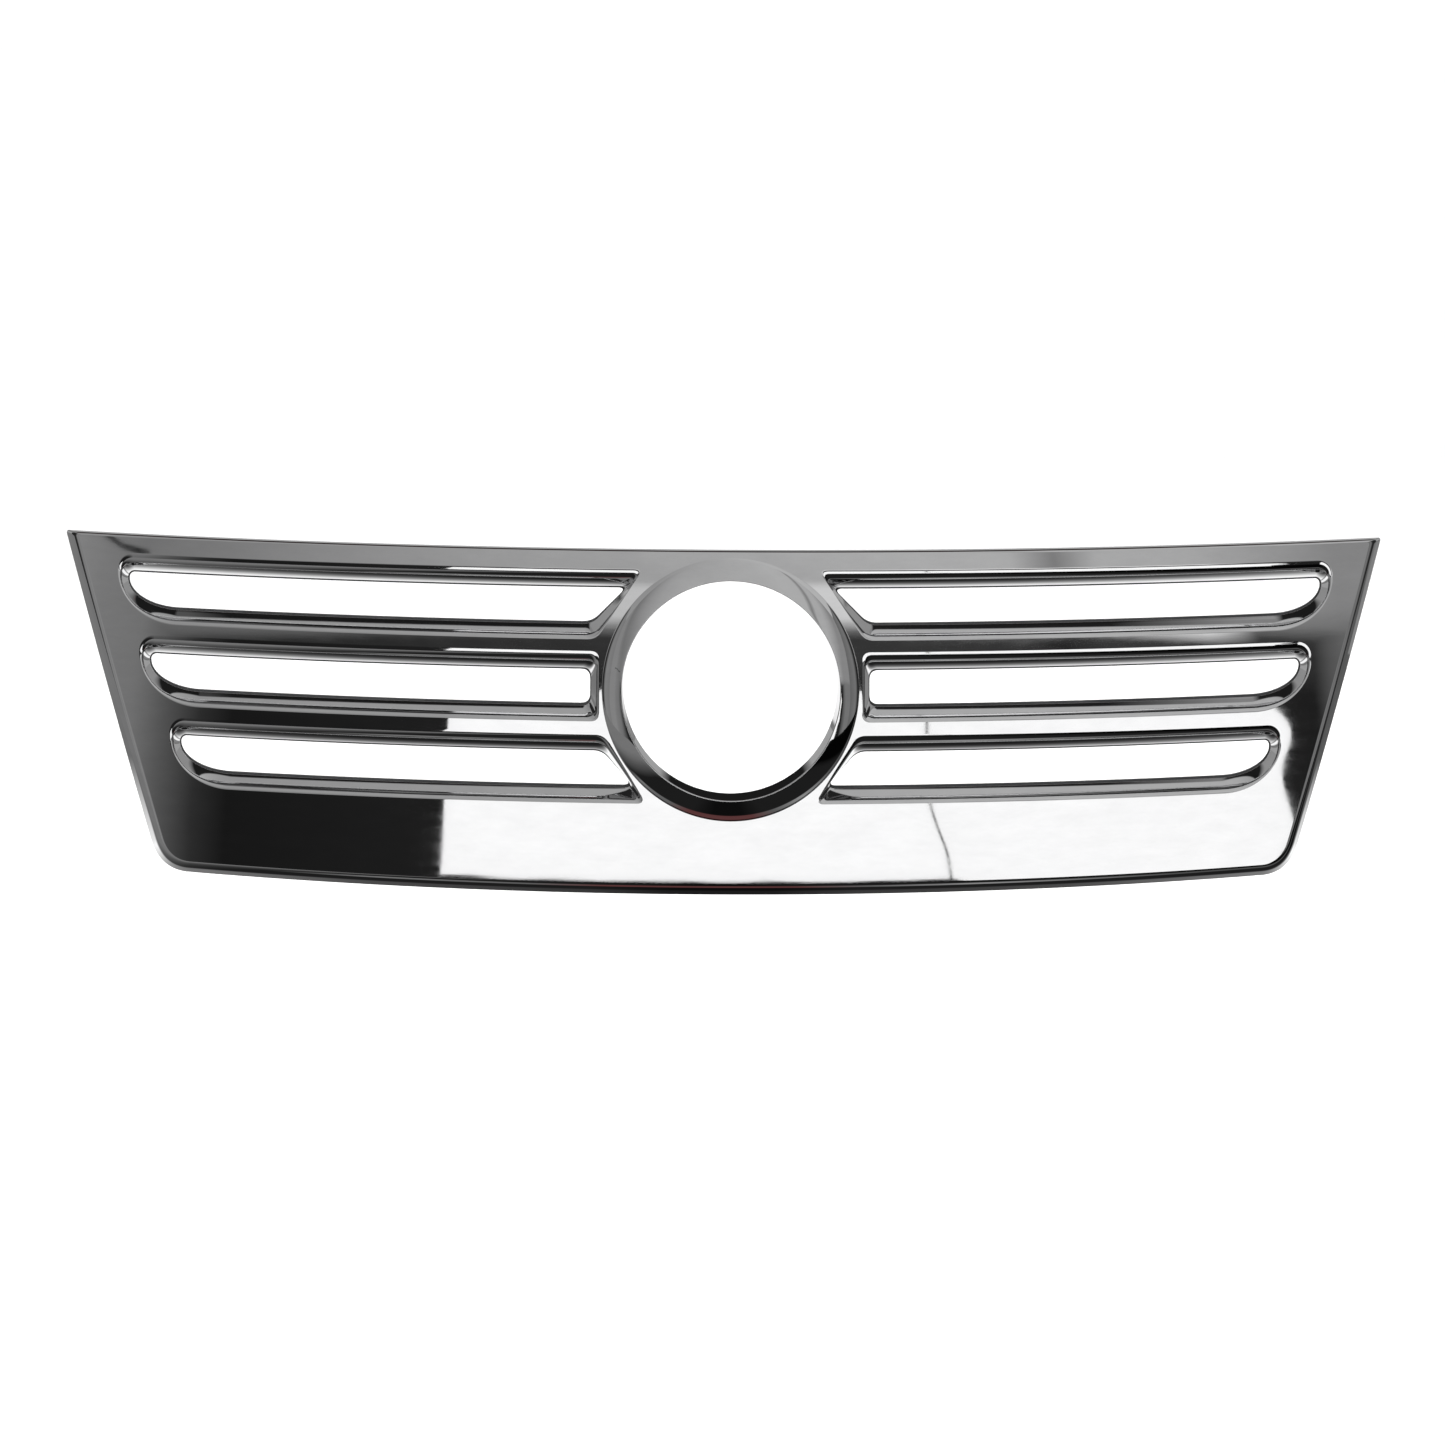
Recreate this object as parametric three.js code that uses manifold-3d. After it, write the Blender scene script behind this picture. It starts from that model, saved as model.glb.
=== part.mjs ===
// Front grille of a compact van: a chrome-plated fascia moulding over a black carrier frame, with its screws,
// push retainers, spring clips, grommets and seals. Millimetres: X across the vehicle, Y to the rear, Z up.
// Shapes are laid out in front view, on (x, z), from the centre of the badge aperture. A depth is measured
// along Y behind the curved face. The finished group is moved so that its origin is on the vehicle's centre
// line, in the plane where the four upper tabs rest.
import * as THREE from 'three';
import { mergeVertices } from 'three/addons/utils/BufferGeometryUtils.js';
import Module from 'manifold-3d';

const wasm = await Module();
wasm.setup();

// The curved face
const LEAN = THREE.MathUtils.degToRad(15);
const BOW_RADIUS = 1420;
const CROWN_RADIUS = 1300;

// The fascia's outline at the rear edge of its flange, and how far inside it the face ends
const HALF_WIDTH = 452;
const TOP = 87.6;
const BOTTOM = -136;
const BOTTOM_RISE = 3;
const SIDE_RUN = 0.3127; // how far a side runs inwards for each millimetre down
const TIP_REACH = 2.5;
const CORNER_REACH = 21;
const FACE_INSET = { side: 7.5, top: -0.9, bottom: 11.5 };
const FLANGE_DEPTH = 15;
const SKIN = 2.6;
const WALL = 2.4;
const WALL_START = 1;

// Three slots a side, from the top down: the upper edge's z, the outer end's x, and the inner end's x at the
// slot's top and bottom, all at the face
const SLOTS = [
  { top: 72.4, end: 410.5, innerTop: 60, innerBottom: 91 },
  { top: 19.8, end: 394.5, innerTop: 88.7, innerBottom: 88.7 },
  { top: -32.8, end: 373, innerTop: 84.5, innerBottom: 57.5 },
];
const SLOT_HEIGHT = 39.4;
const SLOT_DEPTH = 14;
const END_RADIUS = 8.4;
const END_SWEEP = 39;
const INNER_REACH = 6;
const DRAFT = { top: 9, bottom: 6.7, end: 4 }; // how far the walls close in from the face to their rear edge

// The badge aperture and the bead around it
const HOLE = 71.1;
const HOLE_TALL = 68.6;
const BEAD_GROWTH = 1.12; // height gained per unit of width, from the aperture outwards
const BEAD_SEAT = 78;
const BEAD_SECTION = [ // half width and depth of each ridge line
  [83.6, 1.2], [82.2, -3.2], [79, -6], [76, -5], [73.4, 0], [HOLE, 12], [HOLE + WALL, 12], [76.4, 2.2],
];

// The carrier: a sheet behind the fascia with a rim and ribs on its rear
const CARRIER_DEPTH = 14.8;
const CARRIER_SKIN = 3;
const CARRIER_INSET = { side: 4, top: 6, bottom: 4 };
const CARRIER_DRAFT = 1.1; // the carrier's slots are a tenth of the draft smaller than the fascia's
const CARRIER_HOLE = 75;
const RIM_DEPTH = 26;
const RIB = 2.4;
const RIB_DEPTH = 25;
const RIB_STEP = 60; // a rib follows the bow in flats no longer than this
const LOWER_RIB_Z = -88;
const LOWER_RIB_X = [-300, -225, -150, -75, 0, 75, 150, 225, 300];
const LOWER_RIB_END = BOTTOM + BOTTOM_RISE + CARRIER_INSET.bottom + 1;
const BAR_RIB_SPANS = [[106, 220], [240, 366]]; // along each bar, clear of its screw pad

// Screws that hold the carrier to the fascia: x, z and, behind a slot's wall, the depth its boss starts at
const SCREWS = [[424, 72.5], [250, 72.5, 7], [230, 25.5], [230, -27.1], [345, -98], [115, -104]];
const BOSS = { radius: 4.2, pilot: 2.1, sunk: 0.4, clear: 0.5 }; // sunk into the skin, clear of the carrier
const PAD_RADIUS = 6;
const PAD_END = 20.8;
const SCREW = { head: 4, headHeight: 2.3, shank: 1.7, length: 15, point: 1.6 };
const PILOT_SPARE = 1; // the pilot hole goes this much deeper than the screw

// Upper tabs with their push retainers
const TAB_XS = [-330, -120, 120, 330];
const TAB = { bottom: 71, thick: 3, width: 36, reach: 60, hole: 4.3, holeDepth: 46 };
const GUSSET = { width: 2.4, height: 2.6, reach: 32 };
const RETAINER = { head: 9, headHeight: 2, shank: 3.9, length: 11, point: 2, bore: 2.4 };
const PIN = { head: 5.5, headHeight: 1.6, shaft: 2, length: 13, point: 1.5 };

// Lower blades with their spring clips
const BLADE = { xs: [-262, -40, 40, 262], bottom: -118, thick: 3, width: 24, reach: 48 };
const CLIP = { width: 14, sheet: 0.9, grip: 15, lead: 2, barb: 2.2, clear: 0.6 };

// Locating pins with rubber grommets at the two sides
const LOCATOR = { x: 404, z: -14, radius: 4, reach: 46 };
const GROMMET = { bore: 4.3, outer: 8, waist: 6.4, near: 30, length: 11 };

// Backing ring behind the badge aperture
const SEAT_Y = 22;
const SEAT = { inner: 77, outer: 86, thick: 4.5 };
const RING = { inner: 75.5, outer: 87, thick: 5, screwCircle: 81.3, counterbore: 3.2 };
const RING_FLAT = 76.6; // the ring is cut off level here, under the rim and its seal
const RING_SCREW = { head: 3.6, headHeight: 2.4, shank: 1.5, length: 7.2, point: 1.6 };

// Seals
const SEAL = { halfLength: 412, near: 19.5, web: 27, far: 28.9, arm: 1.5, bulb: 3.5 };
const PAD = { x: 190, width: 80, near: 17.5, far: 25.5, top: -131.9, thick: 3 };

const GAP = 0.3;
const ROUND = 10; // facets round a small cylinder
const PAST = 10; // how far a cutting solid runs past what it cuts

// ---- Materials ----
const finish = (color, roughness, metalness) => new THREE.MeshStandardMaterial({ color, roughness, metalness });
const chrome = () => finish(0xd8dadc, 0.05, 1);
const blackPlastic = () => finish(0x161617, 0.55, 0);
const zincSteel = () => finish(0xa9abad, 0.35, 1);
const springSteel = () => finish(0x5b5f66, 0.4, 1);
const blackNylon = () => finish(0x1d1d1f, 0.45, 0);
const rubber = () => finish(0x121212, 0.8, 0);
const foam = () => finish(0x232324, 0.95, 0);

// ---- The face and the two ways that a flat layout becomes a solid ----
function face(x, z) {
  return BOW_RADIUS - Math.sqrt(BOW_RADIUS ** 2 - x ** 2) + Math.tan(LEAN) * z + z ** 2 / (2 * CROWN_RADIUS);
}

function bend(geometry) {
  const place = geometry.attributes.position;
  for (let i = 0; i < place.count; i += 1) place.setY(i, place.getY(i) + face(place.getX(i), place.getZ(i)));
  return geometry;
}

function solid(geometry) {
  const bare = geometry.clone().deleteAttribute('normal').deleteAttribute('uv');
  const merged = mergeVertices(bare, 1e-4);
  const vertProperties = merged.attributes.position.array;
  const triVerts = Uint32Array.from(merged.index.array);
  const made = new wasm.Manifold(new wasm.Mesh({ numProp: 3, vertProperties, triVerts }));
  if (made.volume() > 0) return made;
  return new wasm.Manifold(new wasm.Mesh({ numProp: 3, vertProperties, triVerts: triVerts.reverse() }));
}

function geometryOf(manifold) {
  const { vertProperties, triVerts } = manifold.getMesh();
  const geometry = new THREE.BufferGeometry();
  geometry.setAttribute('position', new THREE.BufferAttribute(vertProperties, 3));
  geometry.setIndex(new THREE.BufferAttribute(triVerts, 1));
  geometry.computeVertexNormals();
  return geometry;
}

// A straight prism along Y with the outline `points`, for cutting.
function prism(points, near = -100, far = 200) {
  const extrude = { depth: far - near, bevelEnabled: false };
  return new THREE.ExtrudeGeometry(new THREE.Shape(points), extrude).rotateX(Math.PI / 2).translate(0, far, 0);
}

// A closed band: each loop runs round it once, and the loops follow one another round its section.
function band(loops) {
  const count = loops[0].length;
  const index = [];
  loops.forEach((_, k) => {
    const next = (k + 1) % loops.length;
    for (let i = 0; i < count; i += 1) {
      const j = (i + 1) % count;
      const [a, b] = [k * count + i, k * count + j];
      const [c, d] = [next * count + j, next * count + i];
      index.push(a, b, c, a, c, d);
    }
  });
  const geometry = new THREE.BufferGeometry().setFromPoints(loops.flat());
  geometry.setIndex(index);
  return geometry;
}

const loop = (points, depth) => points.map((p) => new THREE.Vector3(p.x, face(p.x, p.y) + depth, p.y));
const mirrored = (points) => points.map((p) => new THREE.Vector2(-p.x, p.y)).reverse();
const sampled = (curves, steps) => curves.flatMap((curve, i) => curve.getPoints(steps[i]).slice(0, -1));
const point = (x, z) => new THREE.Vector2(x, z);

// ---- Outlines in front view ----

// The fascia's outline, `inset` inside its rear edge.
function outline(inset) {
  const edge = (z) => HALF_WIDTH - SIDE_RUN * (TOP - z) - inset.side;
  const top = TOP - inset.top;
  const low = BOTTOM + BOTTOM_RISE + inset.bottom;
  const slant = Math.hypot(1, SIDE_RUN);
  const reach = CORNER_REACH - inset.side / 2;
  const cornerZ = low + reach / slant;
  const tipZ = top - TIP_REACH;
  const right = [edge(top) - TIP_REACH, edge(tipZ), edge(cornerZ), edge(low) - reach];
  const curves = [
    new THREE.LineCurve(point(-right[0], top), point(right[0], top)),
    new THREE.QuadraticBezierCurve(point(right[0], top), point(edge(top), top), point(right[1], tipZ)),
    new THREE.LineCurve(point(right[1], tipZ), point(right[2], cornerZ)),
    new THREE.QuadraticBezierCurve(point(right[2], cornerZ), point(edge(low), low), point(right[3], low)),
    new THREE.QuadraticBezierCurve(
      point(right[3], low),
      point(0, low - 2 * BOTTOM_RISE),
      point(-right[3], low),
    ),
    new THREE.QuadraticBezierCurve(point(-right[3], low), point(-edge(low), low), point(-right[2], cornerZ)),
    new THREE.LineCurve(point(-right[2], cornerZ), point(-right[1], tipZ)),
    new THREE.QuadraticBezierCurve(point(-right[1], tipZ), point(-edge(top), top), point(-right[0], top)),
  ];
  return sampled(curves, [14, 1, 3, 4, 12, 4, 3, 1]);
}

const scaledInset = (inset, share) => ({
  side: inset.side * share,
  top: inset.top * share,
  bottom: inset.bottom * share,
});
const widened = (inset, by) => ({ side: inset.side + by, top: inset.top + by, bottom: inset.bottom + by });

// A slot's outline. `share` runs from 0 at the face to 1 at the walls' rear edge, and `grow` moves it outwards.
function slotOutline(slot, side, share, grow = 0) {
  const shrink = DRAFT.end * share - grow;
  const top = slot.top - DRAFT.top * share + grow;
  const bottom = slot.top - SLOT_HEIGHT + DRAFT.bottom * share - grow;
  const end = slot.end - shrink;
  const radius = END_RADIUS - shrink;
  const sweep = END_SWEEP - shrink;
  const innerTop = point(slot.innerTop + shrink, top);
  const innerBottom = point(slot.innerBottom + shrink, bottom);
  const along = innerBottom.clone().sub(innerTop).setLength(INNER_REACH);
  const start = point(innerTop.x + INNER_REACH, top);
  const finishX = innerBottom.x + INNER_REACH;
  const slantLow = innerBottom.clone().sub(along);
  const slantHigh = innerTop.clone().add(along);
  const curves = [
    new THREE.LineCurve(start, point(end - radius, top)),
    new THREE.EllipseCurve(end - radius, top - radius, radius, radius, Math.PI / 2, 0, true),
    new THREE.EllipseCurve(end - sweep, top - radius, sweep, top - radius - bottom, 0, -Math.PI / 2, true),
    new THREE.LineCurve(point(end - sweep, bottom), point(finishX, bottom)),
    new THREE.QuadraticBezierCurve(point(finishX, bottom), innerBottom, slantLow),
    new THREE.LineCurve(slantLow, slantHigh),
    new THREE.QuadraticBezierCurve(slantHigh, innerTop, start),
  ];
  const points = sampled(curves, [5, 2, 4, 5, 1, 1, 1]);
  return side > 0 ? points : mirrored(points);
}

// The line round the aperture at half width `radius`.
function aperture(radius, count = 32) {
  const tall = HOLE_TALL + (radius - HOLE) * BEAD_GROWTH;
  const turns = Array.from({ length: count }, (_, i) => (2 * Math.PI * i) / count);
  return turns.map((turn) => point(radius * Math.cos(turn), tall * Math.sin(turn)));
}

// ---- Pieces ----
const SIDES = [1, -1];
const eachSlot = (make) => SLOTS.flatMap((slot) => SIDES.map((side) => make(slot, side)));
const screwPlaces = SIDES.flatMap((side) => SCREWS.map(([x, z, start = 0]) => [side * x, z, start]));

// A sheet parallel to the face, cut to an outline.
function sheet(points, depth, thick) {
  const width = 2 * HALF_WIDTH + 6;
  const height = TOP - BOTTOM + 8;
  const box = new THREE.BoxGeometry(width, thick, height, 16, 1, 3);
  box.translate(0, depth + thick / 2, (TOP + BOTTOM) / 2);
  return solid(bend(box)).intersect(solid(prism(points)));
}

const allOf = (solids) => solids.reduce((whole, piece) => whole.add(piece));

// A cylinder along Y from `near` to `far`.
function post(radius, x, z, near, far) {
  const geometry = new THREE.CylinderGeometry(radius, radius, far - near, ROUND);
  return solid(geometry.translate(x, (near + far) / 2, z));
}

// How far behind face(x, z) the face reaches within `radius` of it.
function slopeReach(x, z, radius) {
  const slopeX = x / Math.sqrt(BOW_RADIUS ** 2 - x ** 2);
  const slopeZ = Math.tan(LEAN) + z / CROWN_RADIUS;
  return radius * Math.hypot(slopeX, slopeZ);
}

function fasciaShell() {
  const cuts = eachSlot((slot, side) => solid(prism(slotOutline(slot, side, 0))));
  cuts.push(solid(prism(aperture(BEAD_SEAT))));
  const plate = sheet(outline(FACE_INSET), 0, SKIN).subtract(allOf(cuts));

  const begin = WALL_START / SLOT_DEPTH;
  const slotWalls = eachSlot((slot, side) => solid(band([
    loop(slotOutline(slot, side, begin), WALL_START),
    loop(slotOutline(slot, side, 1), SLOT_DEPTH),
    loop(slotOutline(slot, side, 1, WALL), SLOT_DEPTH),
    loop(slotOutline(slot, side, begin, WALL), WALL_START),
  ])));

  const edge = scaledInset(FACE_INSET, 1 - WALL_START / FLANGE_DEPTH);
  const none = scaledInset(FACE_INSET, 0);
  const flange = solid(band([
    loop(outline(edge), WALL_START),
    loop(outline(none), FLANGE_DEPTH),
    loop(outline(widened(none, WALL)), FLANGE_DEPTH),
    loop(outline(widened(edge, WALL)), WALL_START),
  ]));
  const bead = solid(band(BEAD_SECTION.map(([radius, depth]) => loop(aperture(radius), depth))));

  const bosses = screwPlaces.map(([x, z, start]) => {
    const tilt = slopeReach(x, z, BOSS.radius);
    const [near, far] = [Math.max(start, tilt + BOSS.sunk), CARRIER_DEPTH - tilt - BOSS.clear];
    return post(BOSS.radius, x, z, face(x, z) + near, face(x, z) + far);
  });
  const pilots = screwPlaces.map(([x, z]) => {
    const near = PAD_END - SCREW.length - PILOT_SPARE;
    return post(BOSS.pilot, x, z, face(x, z) + near, face(x, z) + CARRIER_DEPTH + PAST);
  });
  return allOf([plate, ...slotWalls, flange, bead, ...bosses]).subtract(allOf(pilots));
}

// A rib on the carrier's rear: `along` X or Z, from the sheet back to `depth`.
function rib(x, z, width, height, depth = RIB_DEPTH) {
  const near = CARRIER_DEPTH + CARRIER_SKIN / 2;
  const steps = (size) => Math.ceil(size / RIB_STEP);
  const box = new THREE.BoxGeometry(width, depth - near, height, steps(width), 1, steps(height));
  return solid(bend(box.translate(x, (near + depth) / 2, z)));
}

function barRibs() {
  return SIDES.flatMap((side) => [SCREWS[2][1], SCREWS[3][1]].flatMap((z) => BAR_RIB_SPANS.map(
    ([from, to]) => rib((side * (from + to)) / 2, z, to - from, RIB),
  )));
}

function lowerRibs() {
  const [middle, height] = [(LOWER_RIB_Z + LOWER_RIB_END) / 2, LOWER_RIB_Z - LOWER_RIB_END];
  const uprights = LOWER_RIB_X.map((x) => rib(x, middle, RIB, height));
  return [rib(0, LOWER_RIB_Z, 2 * LOWER_RIB_X.at(-1), RIB), ...uprights];
}

const tabY = (x) => face(x, TAB.bottom) + TAB.holeDepth;

// A flat lug that runs rearwards from the sheet. Its upper and lower faces are level.
function lug(x, bottom, thick, width, reach) {
  const near = CARRIER_DEPTH + CARRIER_SKIN / 2;
  const box = new THREE.BoxGeometry(width, reach - near, thick, 2, 1, 1);
  return solid(bend(box.translate(x, (near + reach) / 2, bottom + thick / 2)));
}

function upperTab(x) {
  const gussets = [-1, 1].map((side) => lug(
    x + (side * (TAB.width - GUSSET.width)) / 2,
    TAB.bottom + TAB.thick / 2,
    TAB.thick / 2 + GUSSET.height,
    GUSSET.width,
    GUSSET.reach,
  ));
  const hole = new THREE.CylinderGeometry(TAB.hole, TAB.hole, 2 * PAST, ROUND).rotateX(Math.PI / 2);
  const plate = lug(x, TAB.bottom, TAB.thick, TAB.width, TAB.reach);
  return allOf([plate, ...gussets]).subtract(solid(hole.translate(x, tabY(x), TAB.bottom)));
}

// A flat ring in the badge plane, `near` to `near + thick` behind the seat plane along its normal.
function tiltedRing(inner, outer, near, thick) {
  const shape = new THREE.Shape().absarc(0, 0, outer, 0, 2 * Math.PI);
  shape.holes.push(new THREE.Path().absarc(0, 0, inner, 0, 2 * Math.PI));
  const geometry = new THREE.ExtrudeGeometry(shape, { depth: thick, bevelEnabled: false, curveSegments: 16 });
  return geometry.rotateX(Math.PI / 2).translate(0, near + thick, 0);
}

// Cuts a ring off level at its top, where the rim and its seal pass over it.
function flatTopped(ring) {
  const above = new THREE.BoxGeometry(2 * RING.outer, 2 * RING.outer, RING.outer);
  return ring.subtract(solid(above.translate(0, SEAT_Y, RING_FLAT + RING.outer / 2)));
}

const onSeat = (geometry) => geometry.rotateX(-LEAN).translate(0, SEAT_Y, 0);
const ringScrewTurns = [0, 1, 2, 3].map((i) => Math.PI / 4 + (i * Math.PI) / 2);
const ringScrewPlaces = ringScrewTurns.map((turn) => [
  RING.screwCircle * Math.cos(turn),
  RING.screwCircle * Math.sin(turn),
]);

// Cylinders along the badge plane's normal, at the ring's screws.
function ringScrewHoles(radius, near, far) {
  return allOf(ringScrewPlaces.map(([x, z]) => {
    const hole = new THREE.CylinderGeometry(radius, radius, far - near, ROUND);
    return solid(onSeat(hole.translate(x, (near + far) / 2, z)));
  }));
}

function carrierFrame() {
  const plate = sheet(outline(CARRIER_INSET), CARRIER_DEPTH, CARRIER_SKIN);
  const rimStart = CARRIER_DEPTH + CARRIER_SKIN / 2;
  const inner = widened(CARRIER_INSET, RIB);
  const rim = solid(band([
    loop(outline(CARRIER_INSET), rimStart),
    loop(outline(CARRIER_INSET), RIM_DEPTH),
    loop(outline(inner), RIM_DEPTH),
    loop(outline(inner), rimStart),
  ]));
  const seat = flatTopped(solid(onSeat(tiltedRing(SEAT.inner, SEAT.outer, -SEAT.thick, SEAT.thick))));
  const pads = screwPlaces.map(([x, z]) => {
    const near = face(x, z) + rimStart + slopeReach(x, z, PAD_RADIUS) - CARRIER_SKIN / 2;
    return post(PAD_RADIUS, x, z, near, face(x, z) + PAD_END);
  });
  const locators = SIDES.map((side) => {
    const near = face(LOCATOR.x, LOCATOR.z) + rimStart;
    return post(LOCATOR.radius, side * LOCATOR.x, LOCATOR.z, near, near + LOCATOR.reach - rimStart);
  });
  const blades = BLADE.xs.map((x) => lug(x, BLADE.bottom, BLADE.thick, BLADE.width, BLADE.reach));
  const added = allOf([
    plate, rim, seat, ...pads, ...barRibs(), ...lowerRibs(), ...TAB_XS.map(upperTab), ...blades, ...locators,
  ]);

  const slots = eachSlot((slot, side) => solid(prism(slotOutline(slot, side, CARRIER_DRAFT))));
  const holes = screwPlaces.map(([x, z]) => {
    const middle = face(x, z) + CARRIER_DEPTH;
    return post(BOSS.pilot, x, z, middle - PAST, middle + PAST);
  });
  const screwHoles = ringScrewHoles(RING_SCREW.shank + GAP, -2 * SEAT.thick, SEAT.thick);
  return added.subtract(allOf([...slots, solid(prism(aperture(CARRIER_HOLE))), ...holes, screwHoles]));
}

function badgeRing() {
  const ring = solid(onSeat(tiltedRing(RING.inner, RING.outer, GAP, RING.thick)));
  const rear = GAP + RING.thick;
  const holes = ringScrewHoles(RING_SCREW.shank + GAP, -PAST, rear + PAST);
  const counterbores = ringScrewHoles(RING_SCREW.head + GAP, rear - RING.counterbore, rear + PAST);
  return flatTopped(ring).subtract(holes.add(counterbores));
}

const turned = (profile) => new THREE.LatheGeometry(profile.map(([r, y]) => point(r, y)), ROUND);

// A pan-head screw along Y, its head's rear at y = headHeight and its tip forwards.
function screwGeometry({ head, headHeight, shank, length, point: tip }) {
  return turned([
    [0, -length], [shank, tip - length], [shank, 0], [head, 0], [head, headHeight * 0.55],
    [head * 0.7, headHeight], [0, headHeight],
  ]);
}

// A push retainer's body: flanged head above the tab, split-leg shank below, bored for its pin.
function retainerGeometry() {
  const { head, headHeight, shank, length, point: tip, bore } = RETAINER;
  return turned([
    [bore, -length], [shank * 0.75, -length], [shank, tip - length], [shank, 0], [head, 0],
    [head, headHeight * 0.5], [head * 0.85, headHeight], [bore, headHeight], [bore, -length],
  ]).rotateX(Math.PI / 2);
}

function retainerPinGeometry() {
  const { head, headHeight, shaft, length, point: tip } = PIN;
  return turned([
    [0, -length], [shaft * 0.6, -length], [shaft, tip - length], [shaft, 0], [head, 0],
    [head * 0.85, headHeight], [0, headHeight],
  ]).rotateX(Math.PI / 2);
}

// A spring clip folded round a blade's rear end, in the blade's own frame: y = 0 at the end, z = 0 half way up.
function clipGeometry() {
  const { width, sheet: thick, grip, lead, barb, clear } = CLIP;
  const inside = BLADE.thick / 2 + GAP;
  const outside = inside + thick;
  const mouth = -grip - lead;
  const half = [
    [clear, inside], [-grip, inside], [mouth, inside + barb], [mouth + thick, outside + barb],
    [-grip + 2 * thick, outside], [-grip * 0.55, outside], [-grip * 0.45, outside + barb],
    [-grip * 0.2, outside], [clear + thick, outside],
  ];
  const under = half.map(([y, z]) => [y, -z]).reverse();
  const shape = new THREE.Shape([...half, ...under].map(([y, z]) => point(y, z)));
  const geometry = new THREE.ExtrudeGeometry(shape, { depth: width, bevelEnabled: false });
  return geometry.translate(0, 0, -width / 2).rotateY(Math.PI / 2).rotateX(Math.PI / 2);
}

function grommetGeometry() {
  const { bore, outer, waist, length } = GROMMET;
  return turned([
    [bore, 0], [outer, 0], [outer, length * 0.35], [waist, length * 0.35], [waist, length * 0.6],
    [outer, length * 0.6], [outer * 0.8, length], [bore, length], [bore, 0],
  ]);
}

// A push-on edge seal along the rim's top: a channel over the rim's rear edge with a sponge bulb behind it.
function topSealGeometry() {
  const { halfLength, near, web, far, arm, bulb } = SEAL;
  const rimTop = TOP - CARRIER_INSET.top;
  const middle = rimTop - RIB / 2;
  const slotHalf = RIB / 2 + GAP;
  const outside = slotHalf + arm;
  const round = Array.from({ length: 7 }, (_, i) => {
    const turn = Math.PI / 2 - (i * Math.PI) / 6;
    return point(far + bulb * 0.7 + bulb * Math.cos(turn), bulb * Math.sin(turn));
  });
  const shape = new THREE.Shape([
    point(near, slotHalf), point(near, outside), point(far, outside), ...round, point(far, -outside),
    point(near, -outside), point(near, -slotHalf), point(web, -slotHalf), point(web, slotHalf),
  ]);
  const extrude = { depth: 2 * halfLength, steps: 14, bevelEnabled: false };
  const geometry = new THREE.ExtrudeGeometry(shape, extrude).translate(0, 0, -halfLength);
  const place = geometry.attributes.position;
  for (let i = 0; i < place.count; i += 1) {
    const [depth, rise, along] = [place.getX(i), place.getY(i), place.getZ(i)];
    place.setXYZ(i, along, face(along, middle) + depth, middle + rise);
  }
  return geometryOf(solid(geometry));
}

function lowerPadGeometry(side) {
  const { x, width, near, far, top, thick } = PAD;
  const box = new THREE.BoxGeometry(width, far - near, thick, 2, 1, 1);
  return bend(box.translate(side * x, (near + far) / 2, top - thick / 2));
}

// ---- Assembly ----
const grille = new THREE.Group();

function place(parent, name, geometry, material, position = [0, 0, 0]) {
  const mesh = new THREE.Mesh(geometry, material);
  mesh.name = name;
  mesh.position.set(...position);
  parent.add(mesh);
  return mesh;
}

const sideName = (x) => (x > 0 ? 'right' : 'left');

place(grille, 'fascia_shell', geometryOf(fasciaShell()), chrome());
place(grille, 'carrier_frame', geometryOf(carrierFrame()), blackPlastic());
place(grille, 'badge_backing_ring', geometryOf(badgeRing()), blackPlastic());
place(grille, 'top_seal', topSealGeometry(), rubber());

screwPlaces.forEach(([x, z], i) => {
  const name = `fascia_screw_${sideName(x)}_${(i % SCREWS.length) + 1}`;
  place(grille, name, screwGeometry(SCREW), zincSteel(), [x, face(x, z) + PAD_END + GAP, z]);
});

const badgeSeat = new THREE.Group();
badgeSeat.position.y = SEAT_Y;
badgeSeat.rotation.x = -LEAN;
grille.add(badgeSeat);
ringScrewPlaces.forEach(([x, z], i) => {
  const headUnder = RING.thick - RING.counterbore + 2 * GAP;
  place(badgeSeat, `ring_screw_${i + 1}`, screwGeometry(RING_SCREW), zincSteel(), [x, headUnder, z]);
});

TAB_XS.forEach((x, i) => {
  const onTab = TAB.bottom + TAB.thick + GAP;
  place(grille, `retainer_body_${i + 1}`, retainerGeometry(), blackNylon(), [x, tabY(x), onTab]);
  const onHead = onTab + RETAINER.headHeight + GAP;
  place(grille, `retainer_pin_${i + 1}`, retainerPinGeometry(), blackNylon(), [x, tabY(x), onHead]);
});

BLADE.xs.forEach((x, i) => {
  const middle = BLADE.bottom + BLADE.thick / 2;
  const halfClip = CLIP.width / 2;
  const rearmost = Math.max(face(x - halfClip, middle), face(x + halfClip, middle)) + BLADE.reach;
  place(grille, `spring_clip_${i + 1}`, clipGeometry(), springSteel(), [x, rearmost, middle]);
});

SIDES.forEach((side) => {
  const x = side * LOCATOR.x;
  const near = face(x, LOCATOR.z) + GROMMET.near;
  place(grille, `grommet_${sideName(side)}`, grommetGeometry(), rubber(), [x, near, LOCATOR.z]);
  place(grille, `rest_pad_${sideName(side)}`, lowerPadGeometry(side), foam());
});

grille.position.set(0, -tabY(TAB_XS[2]), -TAB.bottom);

export default grille;
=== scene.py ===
"""Looks for the front grille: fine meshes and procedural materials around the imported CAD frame.

Shapes are laid out in millimetres in front view, on (x, z), from the centre of the badge aperture, with a
depth measured rearwards from the curved face. row() turns them into the frame's metres. Small pieces take
their places from the frame's own boxes.
"""
import math

import bmesh
import bpy
import numpy as np
from mathutils import Matrix, Vector
from mathutils.geometry import delaunay_2d_cdt


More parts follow.
